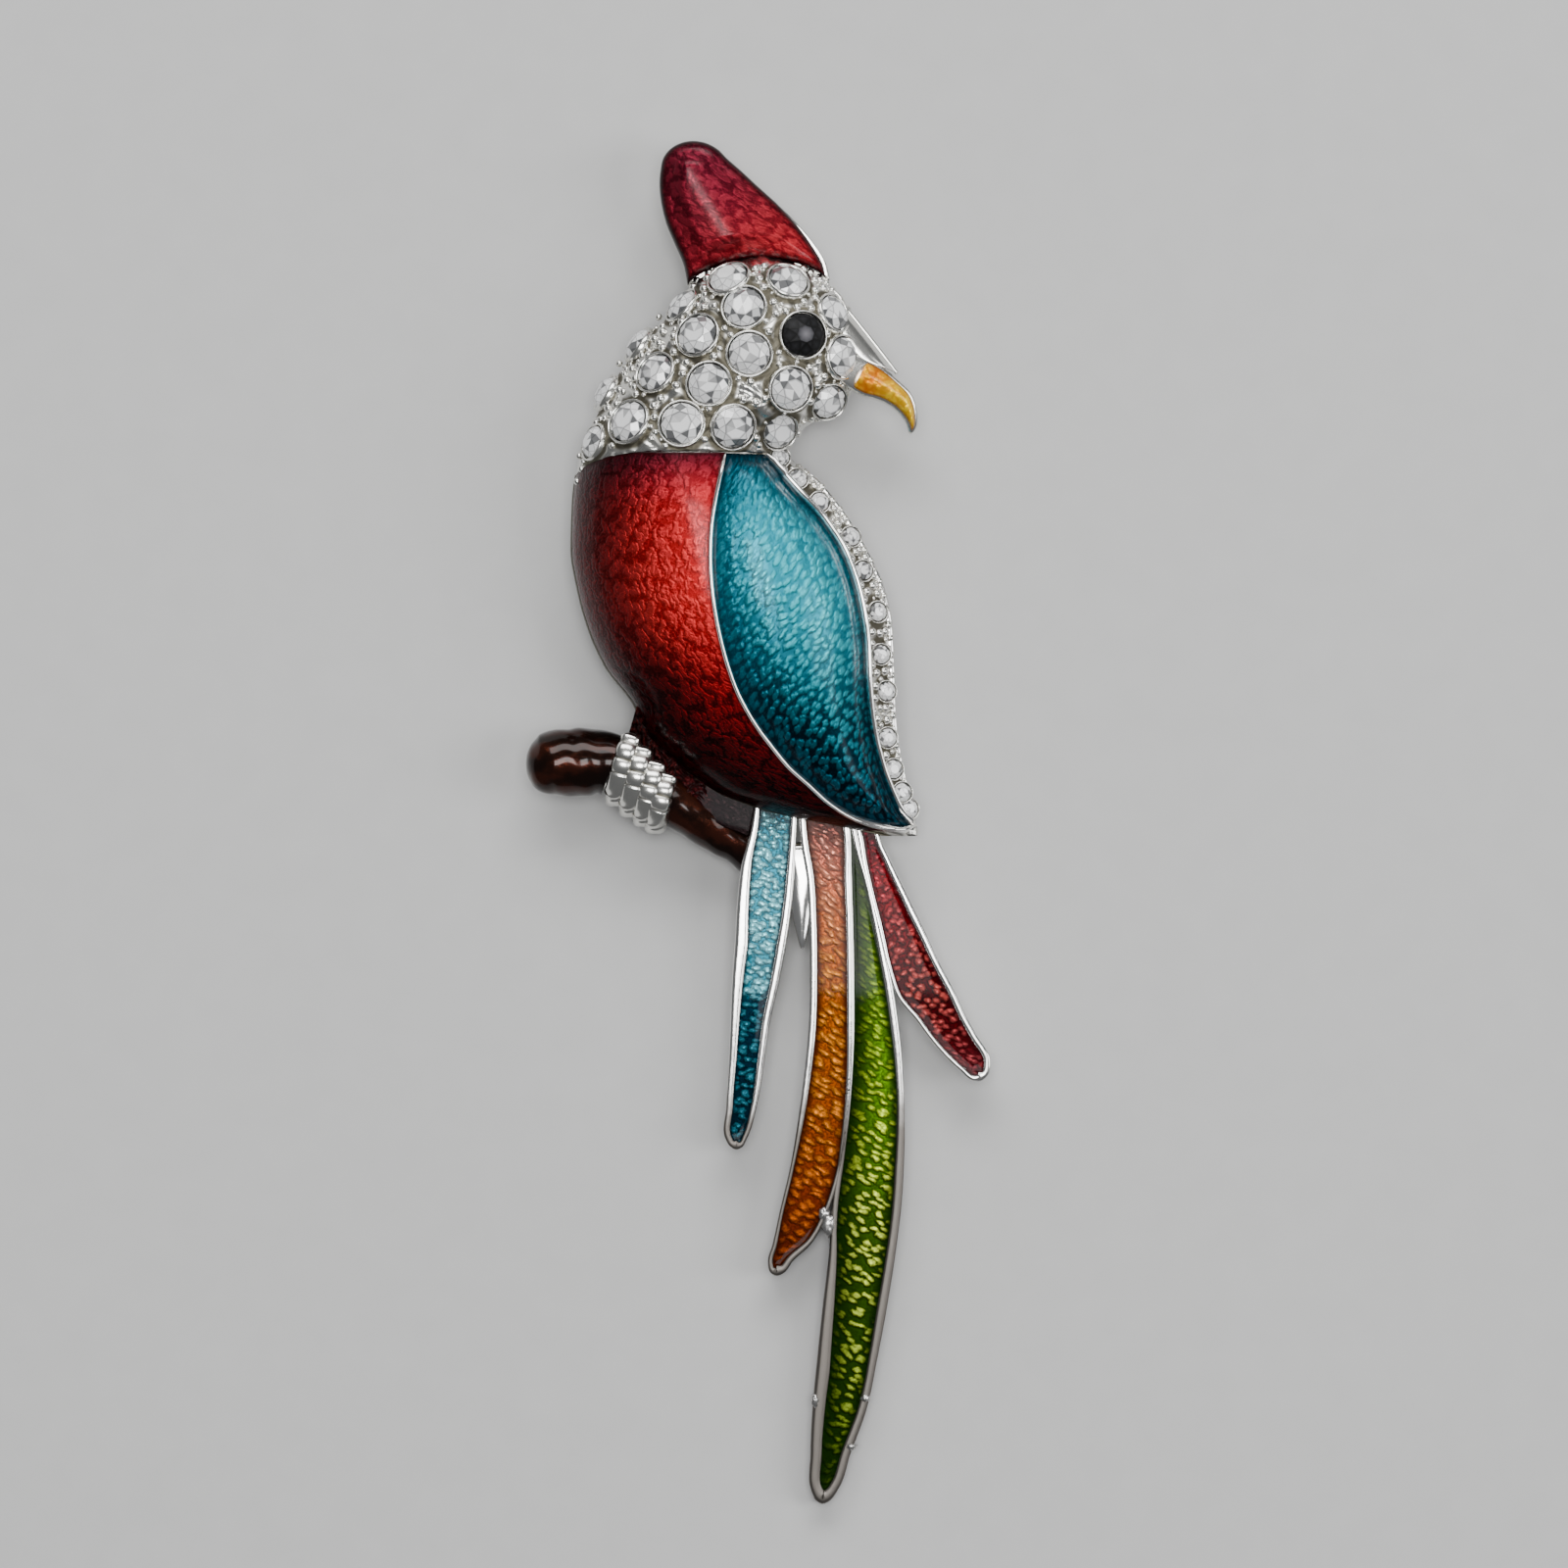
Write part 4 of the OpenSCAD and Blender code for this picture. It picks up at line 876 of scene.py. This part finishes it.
# of each feather: left and right point, across and along (thousandths), tip first; widths of the
# left and the right rim from root to tip; where its enamel ends; and the enamel's own look
feathers = {
    "blue": {
        "rows": [(-59, -238, -36, -238), (-72, -231, -24, -231), (-70, -209, -4, -209), (-65, -180, 11, -180),
                 (-61, -148, 25, -148), (-57, -115, 46, -115), (-51, -87, 61, -87), (-46, -58, 72, -58),
                 (-36, -29, 78, -29), (-17, -4, 82, -4), (-8, 14, 84, 14)],
        "rims": [(0.35, 0.7, 0.85, 0.6, 0.45, 0.42), (0.35, 0.5, 0.62, 0.55, 0.42, 0.3)], "end": 13,
        "cells": 2.0, "stretch": (0.8, 1.3, 1), "turn": -0.3, "wander": 0.7, "grain": 1.0,
        "low": 0.0, "high": 0.6,
        "stops": [(0, 30, 70, 80, 4, 12, 18), (80, 220, 700, 800, 6, 120, 170),
                  (300, 260, 780, 880, 10, 160, 220), (520, 180, 620, 720, 6, 110, 150),
                  (560, 20, 150, 200, 0, 10, 20), (1000, 10, 85, 120, 0, 6, 12)],
        "dark": (0.3, 0.3, 0.3), "edge": (0.0, 0.008, 0.015), "edgeWidth": 0.3, "coat": 1.12},
    "orange": {
        "rows": [(27, -331, 53, -331), (20, -323, 74, -322), (30, -310, 114, -309), (46, -285, 148, -287),
                 (68, -253, 179, -253), (86, -216, 196, -216), (99, -180, 203, -180), (108, -144, 204, -144),
                 (110, -108, 204, -108), (108, -72, 202, -72), (103, -40, 198, -40), (91, -14, 198, -16),
                 (86, 12, 192, 8)],
        "rims": [(0.45, 0.5, 0.52, 0.5, 0.52, 0.42, 0.25, 0.25, 0.35),
                 (0.4, 0.4, 0.42, 0.42, 0.4, 0.3, 0.32, 0.5)],
        "end": 8, "cells": 1.55, "stretch": (0.7, 1.4, 1), "turn": -0.35, "wander": 0.7, "grain": 0.9,
        "low": 0.0, "high": 0.92,
        "stops": [(0, 100, 35, 35, 50, 15, 15), (80, 620, 200, 130, 340, 80, 50),
                  (220, 660, 200, 60, 400, 85, 15), (310, 620, 180, 10, 300, 60, 2),
                  (360, 660, 210, 12, 240, 52, 1), (600, 600, 180, 12, 190, 34, 0),
                  (800, 460, 95, 6, 120, 14, 0), (1000, 140, 12, 1, 30, 2, 0)],
        "dark": (0.3, 0.2, 0.2), "edge": (0.04, 0.005, 0.0), "edgeWidth": 0.55, "coat": 1.12},
    "green": {
        "rows": [(127, -500, 150, -500), (113, -491, 175, -489), (112, -465, 198, -465), (116, -433, 232, -433),
                 (127, -393, 257, -393), (139, -354, 278, -354), (152, -317, 295, -317), (158, -281, 308, -281),
                 (172, -245, 314, -245), (186, -202, 314, -202), (193, -159, 306, -159), (193, -115, 287, -115),
                 (191, -79, 264, -79), (188, -43, 238, -43), (186, -14, 217, -16), (184, 5, 207, 2)],
        "rims": [(0.4, 0.42, 0.42, 0.4, 0.4, 0.4, 0.42, 0.74, 0.9, 0.75, 0.7),
                 (0.3, 0.28, 0.5, 0.55, 0.45, 0.6, 0.6, 0.65, 0.55, 0.6, 0.65)],
        "end": 1, "leftEdgeScale": 0.38, "cells": 1.5, "stretch": (0.75, 1.6, 1), "turn": -0.5, "wander": 0.6,
        "grain": 0.8, "low": 0.3, "high": 1.0,
        # the near-yellow tops from 420 to 580 along are painted glints
        "stops": [(0, 80, 120, 12, 30, 45, 5), (120, 300, 480, 20, 100, 200, 4),
                  (300, 420, 680, 20, 90, 220, 2), (420, 640, 880, 30, 60, 160, 1),
                  (580, 800, 980, 100, 22, 60, 0), (750, 520, 680, 60, 14, 45, 0),
                  (930, 120, 200, 10, 8, 25, 0), (1000, 260, 400, 15, 50, 100, 0)],
        "dark": (0.3, 0.3, 0.2), "edge": (0.003, 0.014, 0.0), "edgeWidth": 0.85, "coat": 1.15},
    "red": {
        "rows": [(462, -189, 494, -185), (432, -181, 500, -175), (373, -160, 468, -154), (338, -144, 447, -141),
                 (300, -128, 424, -124), (276, -105, 390, -102), (257, -79, 352, -74), (238, -54, 316, -49),
                 (221, -29, 283, -26), (214, -14, 264, -12), (208, -3, 256, -2)],
        "rims": [(0.4, 0.4, 0.38, 0.3, 0.32, 0.3, 0.35), (0.3, 0.4, 0.5, 0.45, 0.45, 0.45, 0.45)], "end": -3,
        "cells": 1.8, "stretch": (1.0, 1.2, 1), "turn": 0.6, "wander": 0.6, "grain": 0.8,
        "stops": [(0, 160, 20, 30, 50, 4, 8), (120, 360, 20, 34, 150, 4, 7), (350, 360, 32, 36, 80, 1, 3),
                  (600, 440, 60, 50, 25, 0, 1), (800, 300, 34, 38, 40, 1, 2), (1000, 240, 35, 45, 90, 8, 13)],
        "dark": (0.3, 0.2, 0.2), "edge": (0.03, 0.001, 0.003), "edgeWidth": 0.34, "coat": 1.12},
}


# level of the feathers' rims: it falls toward the tip as the 1.5th power of the way down
def tailLevel(y):
    f = np.clip(-shareAlong(y) / 500, 0, 1)
    return blendOf(back + tail["rootLevel"], tail["thick"], f ** 1.5)


# sides of a feather and the widths of its rims, which widen toward the tip into its solid end
def featherPlan(feather):
    f = np.linspace(0, 1, tail["count"])
    widths = [np.interp(f, np.linspace(0, 1, len(w)), w) + tail["tipRim"] * easeOf(f, 0.97, 1)
              for w in feather["rims"]]
    return *taperSides(feather["rows"][::-1], tail["count"], tail["tipRound"]), widths


# frame of a feather: rings across it, up the outer wall, over the rounded rim and along the
# floor; a step is a share of the rim's width, a length more and a height
def featherFrame(feather):
    left, right, rims = featherPlan(feather)
    steps = [(0.12, 0, -tail["thick"]), (0, 0, 0.06 - tail["thick"]), (0, 0, -0.14), (0.08, 0, -0.04),
             (0.28, 0, 0), (0.72, 0, 0), (0.93, 0, -0.04), (1, 0, -0.14), (1, 0.05, -tail["depth"])]
    columns = []
    for share, extra, height in steps:
        sides = insetSides(left, right, [w * share + extra for w in rims])
        columns.append([atHeight(p, tailLevel(p[:, 1]) + height) for p in sides])
    rings = np.stack([c[0] for c in columns] + [c[1] for c in columns[::-1]], 1)
    # rims darker toward the tips between the two given distances: a painted dark reflection
    reflectedDark = easeOf(-rings[..., 1], tail["darkReflectionFrom"], tail["darkReflectionTo"])
    part = gridPart(rings, True, grime=0.1 + tail["darkReflection"] * reflectedDark)
    near = np.arange(len(steps))
    far = 2 * len(steps) - 1 - near
    part["faces"] = np.vstack([part["faces"], np.stack([near[:-1], near[1:], far[1:], far[:-1]], -1)])
    return part


web = smoothLine(planOf(tail["web"] + tail["web"][:1]), 60)[:-1]
frames = [featherFrame(feather) for feather in feathers.values()]
for x, y, wide, long in tail["burrs"]:
    place = planOf([(x, y)])[0]
    size = np.array([wide, long, tail["burrHigh"]])
    lump = ballPart(np.zeros(3), 1.0, (0, 0, 1), 1.0, 9, 14, grime=0.5)
    uneven = 1 + 0.25 * np.sin(9 * lump["points"][:, :1] + x) * np.sin(8 * lump["points"][:, 1:2] + y)
    lump["points"] = [*place, tailLevel(place[1]) - 0.15] + lump["points"] * uneven * size
    frames.append(lump)
ring = [atHeight(blendOf(web.mean(0), web, k), back + h)
        for k, h in ((0, -0.9), (1, -0.9), (1, 0.44), (0.85, 0.54), (0, 0.54))]
makeMetal("tail_frames", frames + [gridPart(np.stack(ring), True, grime=0.1)], brightSilver)

# enamel of a feather: between the rims, its top a shallow hollow that climbs to them
for name, feather in feathers.items():
    left, right, rims = featherPlan(feather)
    left, right = insetSides(left, right, [w - 0.03 for w in rims])
    keep = (left[:, 1] + right[:, 1]) / 2 < alongOf(feather["end"])
    plan = betweenLines(left[keep], right[keep], rowOf(0, 1, 25))
    leftGap, rightGap = distanceTo(plan, left[keep]), distanceTo(plan, right[keep])
    level = tailLevel(plan[..., 1])
    climb = tail["climb"] * (1 - easeOf(np.minimum(leftGap, rightGap), 0, tail["climbWidth"]))
    material = enamelMaterial(f"{name}Enamel", {**tail["finish"], **feather})
    # edge line, wider on the green's left side: deeper enamel and painted shade
    makeEnamel(f"{name}_enamel", material,
               atHeight(plan, level - tail["drop"] + climb), atHeight(plan, level - tail["depth"] + 0.05),
               np.minimum(leftGap * feather.get("leftEdgeScale", 1), rightGap), node=f"{name}_feather_enamel")
print("tail made")

# crest: left and right points (thousandths) from its base up, bulge of each row over the crown (mm)
crest = {
    "rows": [(-152, 395, 153, 399), (-162, 411, 146, 410), (-181, 426, 120, 425), (-198, 440, 84, 440),
             (-209, 455, 40, 455), (-213, 468, -2, 468), (-211, 479, -40, 480), (-204, 489, -70, 489),
             (-190, 495, -84, 494), (-162, 500, -118, 500)],
    "bulge": [1.5, 1.1, 0.7, 0.3, 0, 0, 0, 0, 0, 0],
    "plate": 0.9, "edge": 0.9, "edgeRound": 0.55, "swell": 0.75, "bare": 0.22,
    # the ridge: a place on it, its slope across per length along, how soft its top is
    "ridge": (-1.8, 36.9, -0.6, 0.5),
}
crestLook = {
    "cells": 1.5, "wander": 1.4, "grain": 1.4, "low": -0.2, "high": 0.85,
    "stops": [(0, 460, 22, 30, 200, 5, 10), (300, 320, 18, 26, 120, 4, 9), (1000, 240, 20, 36, 90, 5, 13)],
    "dark": (0.4, 0.4, 0.8), "edge": (0.008, 0.0, 0.001), "edgeWidth": 0.8, "metal": 0.7, "bump": 0.4,
    "gloss": 0.18, "coat": 1.2,
}


# rows of the crest from the base arc over the crown to the top; bare keeps the right side away
# from the outline at the foot
def crestGrid(rowCount, columnCount, bare):
    left, right = taperSides(crest["rows"], rowCount)
    place = np.linspace(0, 1, rowCount)
    right[:, 0] -= bare * (1 - easeOf(place, 0.12, 0.5))
    f = rowOf(0, 1, columnCount)
    plan = betweenLines(left, right, f)
    bulge = np.interp(place, np.linspace(0, 1, len(crest["bulge"])), crest["bulge"])[:, None]
    plan[..., 1] += bulge * np.sin(np.pi * f) ** 0.65
    return plan


plan = crestGrid(130, 110, crest["bare"])
gap = distanceTo(plan, np.vstack([plan[:, 0], plan[::-1, -1], plan[0, ::-1]]))
roundUp = np.sqrt(np.clip(1 - (1 - np.clip(gap / crest["edgeRound"], 0, 1)) ** 2, 0, 1))
ridgeX, ridgeY, ridgeSlope, ridgeSoft = crest["ridge"]
away = (plan[..., 0] - ridgeX - ridgeSlope * (plan[..., 1] - ridgeY)) / np.hypot(1, ridgeSlope)
fall = crest["swell"] - 0.2 * (np.sqrt(away ** 2 + ridgeSoft ** 2) - ridgeSoft)
base = back + crest["plate"]
z = base + 0.12 + (crest["edge"] - 0.12) * roundUp + np.maximum(fall, 0) * easeOf(gap, 0.2, 1.7)
shade = 0.45 + 0.55 * easeOf(plan[..., 0] - 0.3 * (plan[..., 1] - 38), -4, 2.5)
makeEnamel("crest_enamel", enamelMaterial("crestEnamel", crestLook), atHeight(plan, z),
           atHeight(plan, base + 0.06), gap, shade)
plate = crestGrid(110, 60, 0)
plate[0, :, 1] -= 1.2 * np.sin(np.linspace(0, np.pi, 60)) ** 0.5
headParts = [slabPart(atHeight(plate, base), atHeight(plate, back + 0.03))]

# smooth brow strip from the crest down to the beak: outer line and inner line (thousandths)
brow = {
    "outer": [(152, 391), (170, 388), (186, 379), (207, 370), (249, 352), (298, 330)],
    "inner": [(149, 386), (160, 374), (176, 361), (194, 350), (222, 340), (276, 333)],
    "level": 1.15, "rise": 1.7, "foot": 0.35,
}
outer, inner = (smoothLine(planOf(brow[k]), 60) for k in ("outer", "inner"))
f = rowOf(0, 1, 16)
plan = betweenLines(inner, outer, f)
base = back + brow["level"]
arch = np.sqrt(np.clip(1 - f ** 2.4, 0, 1)) * (0.55 + 0.45 * columnOf(1, 0.6, 60))
z = base + blendOf(brow["foot"], brow["rise"], arch)
headParts += [slabPart(atHeight(plan, z), atHeight(plan, base)),
              tubePart(atHeight(outer, base + 0.4), np.tile([0, 0, 1.0], (60, 1)), ovalProfile(0.13, 0.16),
                       np.ones(60))]

# beak: tip first, left point across and along, right point across and along (thousandths)
beak = {
    "rows": [(327, 286, 338, 289), (316, 294, 342, 301), (291, 304, 329, 315), (259, 310, 300, 325),
             (226, 313, 262, 335), (172, 324, 196, 344)],
    "rise": 3.1, "tipRise": 1.2, "thick": 2.5, "rim": 0.16, "swell": 0.55, "enamelFrom": 200,
}
beakLook = {
    "cells": 2.2, "wander": 0.6, "grain": 0.8, "low": 0.0,
    "stops": [(0, 950, 480, 6, 800, 300, 4), (150, 900, 300, 4, 700, 170, 3), (400, 980, 600, 6, 850, 420, 4),
              (1000, 980, 660, 12, 800, 420, 4)],
    "dark": (0.6, 0.5, 0.4), "edge": (0.2, 0.06, 0.001), "edgeWidth": 0.25, "metal": 0.5, "bump": 0.4,
}
lower, upper = taperSides(beak["rows"][::-1], 90)
levels = back + blendOf(beak["rise"], beak["tipRise"], columnOf(0, 1, 90) ** 1.2)
f = rowOf(0, 1, 22)
plan = betweenLines(lower, upper, f)
headParts.append(slabPart(atHeight(plan, levels - 0.3 + 0.2 * np.sin(np.pi * f) ** 0.5),
                          atHeight(plan, levels - beak["thick"] * (0.5 + 0.5 * columnOf(1, 0, 90)))))
makeMetal("head_plates", headParts)
keep = lower[:, 0] > acrossOf(beak["enamelFrom"])
plan = betweenLines(*(line[keep] for line in insetSides(lower, upper, [beak["rim"]] * 2)), f)
makeEnamel("beak_enamel", enamelMaterial("beakEnamel", beakLook),
           atHeight(plan, levels[keep] - 0.25 + beak["swell"] * np.sin(np.pi * f) ** 0.6),
           atHeight(plan, levels[keep] - 0.5), distanceTo(plan, np.vstack([plan[:, 0], plan[::-1, -1]])))
print("head made")

# branch: across, along, radius (thousandths, the radius of the width); the foot lies between
# two places across it
branch = {
    "rows": [(-501, 44, 1), (-498, 44, 22), (-489, 44, 42), (-470, 44, 61), (-440, 45, 71), (-405, 45, 73),
             (-324, 44, 69), (-308, 42, 68), (-251, 32, 63), (-194, 20, 56), (-181, 17, 55), (-110, 0, 51),
             (-39, -15, 47), (-4, -26, 45)],
    "level": 0.3, "count": 150, "foot": (-318, -186), "enamel": 0.4, "turns": (-22, 202),
    "knobs": (0.018, 0.012),
}
brownLook = {
    "cells": 0.5, "stretch": (1.4, 0.5, 1), "wander": 1.6, "grain": 0.5, "low": 0.0, "high": 1.0,
    "stops": [(0, 35, 9, 4, 10, 3, 2), (500, 45, 10, 5, 12, 4, 2), (1000, 20, 6, 4, 8, 3, 2)],
    "dark": (0.4, 0.35, 0.35), "edge": (0.005, 0.002, 0.001), "edgeWidth": 0.3, "bump": 0.2,
    "rough": 0.22, "gloss": 0.11, "relief": 0.0002, "coat": 1.3,
}
perch = back + branch["level"]
radii = acrossOf([row[2] for row in branch["rows"]])
spine = smoothLine(np.column_stack([planOf(branch["rows"]), radii]), branch["count"])
tangent = unitOf(np.gradient(spine[:, :2], axis=0))
side = np.stack([-tangent[:, 1], tangent[:, 0]], -1)


# rings of the branch from turn to turn (degrees): place + side * radius * cos(turn), level +
# radius * sin(turn), the radius made knobbly by a few slow waves
def branchRings(first, last, turns, count, shrink):
    line, t = spine[first:last, None], np.radians(rowOf(*turns, count))
    x = line[..., 0]
    radius = np.maximum(line[..., 2] - shrink, 0.02)
    slow, quick = branch["knobs"]
    radius = radius * (1 + slow * np.sin(x * 2.1 + 2 * t) + quick * np.sin(x * 4.3 - 3 * t))
    level = perch - np.maximum(0, shareAcross(x) + 251) * 0.005
    return atHeight(line[..., :2] + side[first:last, None] * (radius * np.cos(t))[..., None],
                    level + radius * np.sin(t))


footFirst, footLast = (int(np.argmin(np.abs(shareAcross(spine[:, 0]) - place))) for place in branch["foot"])
brown = enamelMaterial("branchEnamel", brownLook)
t = rowOf(0, 1, 48)
for name, first, last in (("branch_enamel", 0, footFirst + 2),
                          ("branch_end_enamel", footLast - 3, branch["count"])):
    top, low = (branchRings(first, last, branch["turns"], 48, shrink) for shrink in (0, branch["enamel"]))
    makeEnamel(name, brown, top, low, 6 * np.minimum(t, 1 - t),
               easeOf(np.sin(np.pi * t), 0.35, 0.95))
core = branchRings(0, branch["count"], (0, 345), 24, branch["enamel"] + 0.02)
ends = core[[0, -1]].mean(1, keepdims=True) + 0 * core[:2]
footParts = [gridPart(np.concatenate([ends[:1], core, ends[1:]]), True, grime=0.3)]

# toes: start, place over the branch, end (thousandths) and their rises; each is a chain of
# short blocks
feet = {
    "rows": [[(-268, 66), (-286, 50), (-306, 22)], [(-244, 57), (-258, 40), (-276, 14)],
             [(-216, 46), (-230, 29), (-246, 7)], [(-192, 37), (-207, 19), (-221, 2)]],
    "rises": (1.6, 0.1, 1.0), "branchRadius": 68, "size": 1.35, "blocks": 3, "blockEnd": 0.42, "round": 0.07,
}
f = np.linspace(0, 1, 90)
knuckles = np.where(f < feet["blockEnd"], np.abs(np.sin(np.pi * feet["blocks"] * f / feet["blockEnd"])), 1)
rounding = np.sqrt(np.clip(np.minimum(f, 1 - f) / feet["round"], 0.02, 1))
scale = (0.74 + 0.26 * knuckles ** 0.45) * rounding
# darker in the grooves between the blocks: tarnish and painted shade
grooves = np.concatenate([[1], 1 - knuckles ** 0.35, [1]])[:, None]
circle = ovalProfile(1, 1, 0, 20)
square = np.sign(circle) * np.abs(circle) ** 0.6 * feet["size"] / 2
for row in feet["rows"]:
    points = atHeight(planOf(row), perch + np.array(feet["rises"]) + [0, acrossOf(feet["branchRadius"]), 0])
    under = [*(points[2, :2] - (0.05, 0.1)), perch - 0.9]
    line = smoothLine([*points, under], 90)
    tangent = unitOf(np.gradient(line, axis=0))
    up = unitOf(np.stack([0 * f, 0 * f + 0.3, np.cos(f * 2.2) + 0.2], -1))
    up = unitOf(up - np.einsum("ij,ij->i", up, tangent)[:, None] * tangent)
    footParts.append(tubePart(line, up, square, scale, grime=1.2 * grooves))
makeMetal("feet_and_core", footParts)

# leg between the body and the branch: from a line under the breast to one on the branch
leg = {
    "belly": [(-250, 100), (-215, 76), (-165, 50), (-112, 35), (-60, 22), (-8, 12)],
    "perch": [(-282, 62), (-262, 44), (-205, 24), (-150, 12), (-85, 0), (-22, -9)],
    "bellyLevel": 1.1, "perchLevel": 1.35, "endLevel": 0.75, "lumps": 0.11, "thick": 0.5,
}
legLook = {
    "cells": 2.0, "wander": 1.2, "grain": 1.2, "low": 0.2, "high": 1.0,
    "stops": [(0, 50, 8, 7, 8, 2, 2), (600, 50, 6, 7, 12, 2, 2), (750, 14, 6, 7, 6, 2, 3),
              (1000, 20, 12, 13, 9, 6, 6)],
    "dark": (0.4, 0.35, 0.35), "edge": (0.006, 0.002, 0.002), "edgeWidth": 0.15, "bump": 0.6, "coat": 1.1,
}
first, second = (smoothLine(planOf(leg[k]), 120) for k in ("belly", "perch"))
f, run = rowOf(0, 1, 40), columnOf(0, 1, 120)
plan = betweenLines(first, second, f)
x, y = plan[..., 0], plan[..., 1]
lumps = np.sin(6.3 * x + 2 * np.sin(4.1 * y)) * np.sin(7.9 * y + 1.7 * np.sin(5.2 * x))
lumps *= leg["lumps"] * (1 - easeOf(run, 0.55, 0.7))
z = back + blendOf(blendOf(leg["bellyLevel"], leg["perchLevel"], f), leg["endLevel"], run ** 2) + lumps
makeEnamel("leg_enamel", enamelMaterial("legEnamel", legLook), atHeight(plan, z),
           atHeight(plan, z - leg["thick"]), 3.0, 0.4 + 0.6 * easeOf(run, 0.0, 0.5), node="casting")
print("branch and feet made")

# pin across the back, carried over as it is, with a brushed steel finish
steel, tree, shader = newMaterial("pinSteel", {"Metallic": 1.0, "Base Color": (0.72, 0.71, 0.69, 1)})
strokes = add(tree, "Mapping", {"Vector": placeOf(tree), "Scale": (200.0, 9000.0, 9000.0)}).outputs[0]
brushed = noiseOf(tree, strokes, 1.0, 3.0)[0]
feed(tree, shader, {"Roughness": calc(tree, "MULTIPLY_ADD", brushed, 0.2, 0.16),
                    "Normal": bumpOf(tree, 0.15, 0.00003, brushed)})
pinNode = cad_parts["pin_back"]
pinNode.data.materials.clear()
pinNode.data.materials.append(steel)

# floor, soft boxes and camera
stage = {
    "floor": (0.56, 0.56, 0.555), "reach": 1.5, "world": 0.15, "distance": 500.0, "level": 3.0, "sensor": 36,
    "imageWidth": 1600, "photoMiddle": (774, 840.5), "boxWide": 474,
    # place, place it faces and size (metres), power
    "boxes": {"windowBox": ((0, 0.025, 0.62), (0, 0.025, 0), (0.26, 0.19), 2.2),
              "topBox": ((0, 0.55, 0.45), (0, 0, 0), (0.6, 0.3), 4.2),
              "sideBox": ((0.5, 0.0, 0.42), (0, 0, 0), (0.25, 0.4), 1.8)},
}
floorMesh = bpy.data.meshes.new("floor")
corners = np.array([(-1, -1, 0), (1, -1, 0), (1, 1, 0), (-1, 1, 0)]) * stage["reach"]
floorMesh.from_pydata(corners, [], [(0, 1, 2, 3)])
floor = newObject("floor", floorMesh)
floorMaterial, tree, shader = newMaterial("paleFloor", {"Roughness": 0.7})
tones = [(0.3, *(0.97 * c for c in stage["floor"])), (0.7, *stage["floor"])]
feed(tree, shader, {"Base Color": rampOf(tree, noiseOf(tree, placeOf(tree), 400.0)[0], tones)})
floorMesh.materials.append(floorMaterial)
floor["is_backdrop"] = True

world = bpy.data.worlds.new("studio")
bpy.context.scene.world = world
world.use_nodes = True
feed(world.node_tree, world.node_tree.nodes["Background"], {0: (0.95, 0.97, 1.0, 1), 1: stage["world"]})
for name, (place, target, size, power) in stage["boxes"].items():
    data = bpy.data.lights.new(name, "AREA")
    data.shape = "RECTANGLE"
    data.size, data.size_y = size
    data.energy = power
    light = newObject(name, data)
    light.location = Vector(place)
    light.rotation_mode = "QUATERNION"
    light.rotation_quaternion = (Vector(target) - Vector(place)).to_track_quat("-Z", "Y")

pixel = overallWidth / stage["boxWide"] * mm
middle = stage["imageWidth"] / 2
camera = bpy.data.cameras.new("camera")
camera.sensor_width = stage["sensor"]
camera.lens = stage["sensor"] * stage["distance"] * mm / (stage["imageWidth"] * pixel)
camera.clip_start, camera.clip_end = 0.01, 10
cameraObject = newObject("camera", camera)
cameraObject.location = ((middle - stage["photoMiddle"][0]) * pixel, (stage["photoMiddle"][1] - middle) * pixel,
                         (stage["level"] + stage["distance"]) * mm)
bpy.context.scene.camera = cameraObject
print("stage set")

low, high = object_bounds()
print("size", [round(v, 5) for v in (*low, *high)])
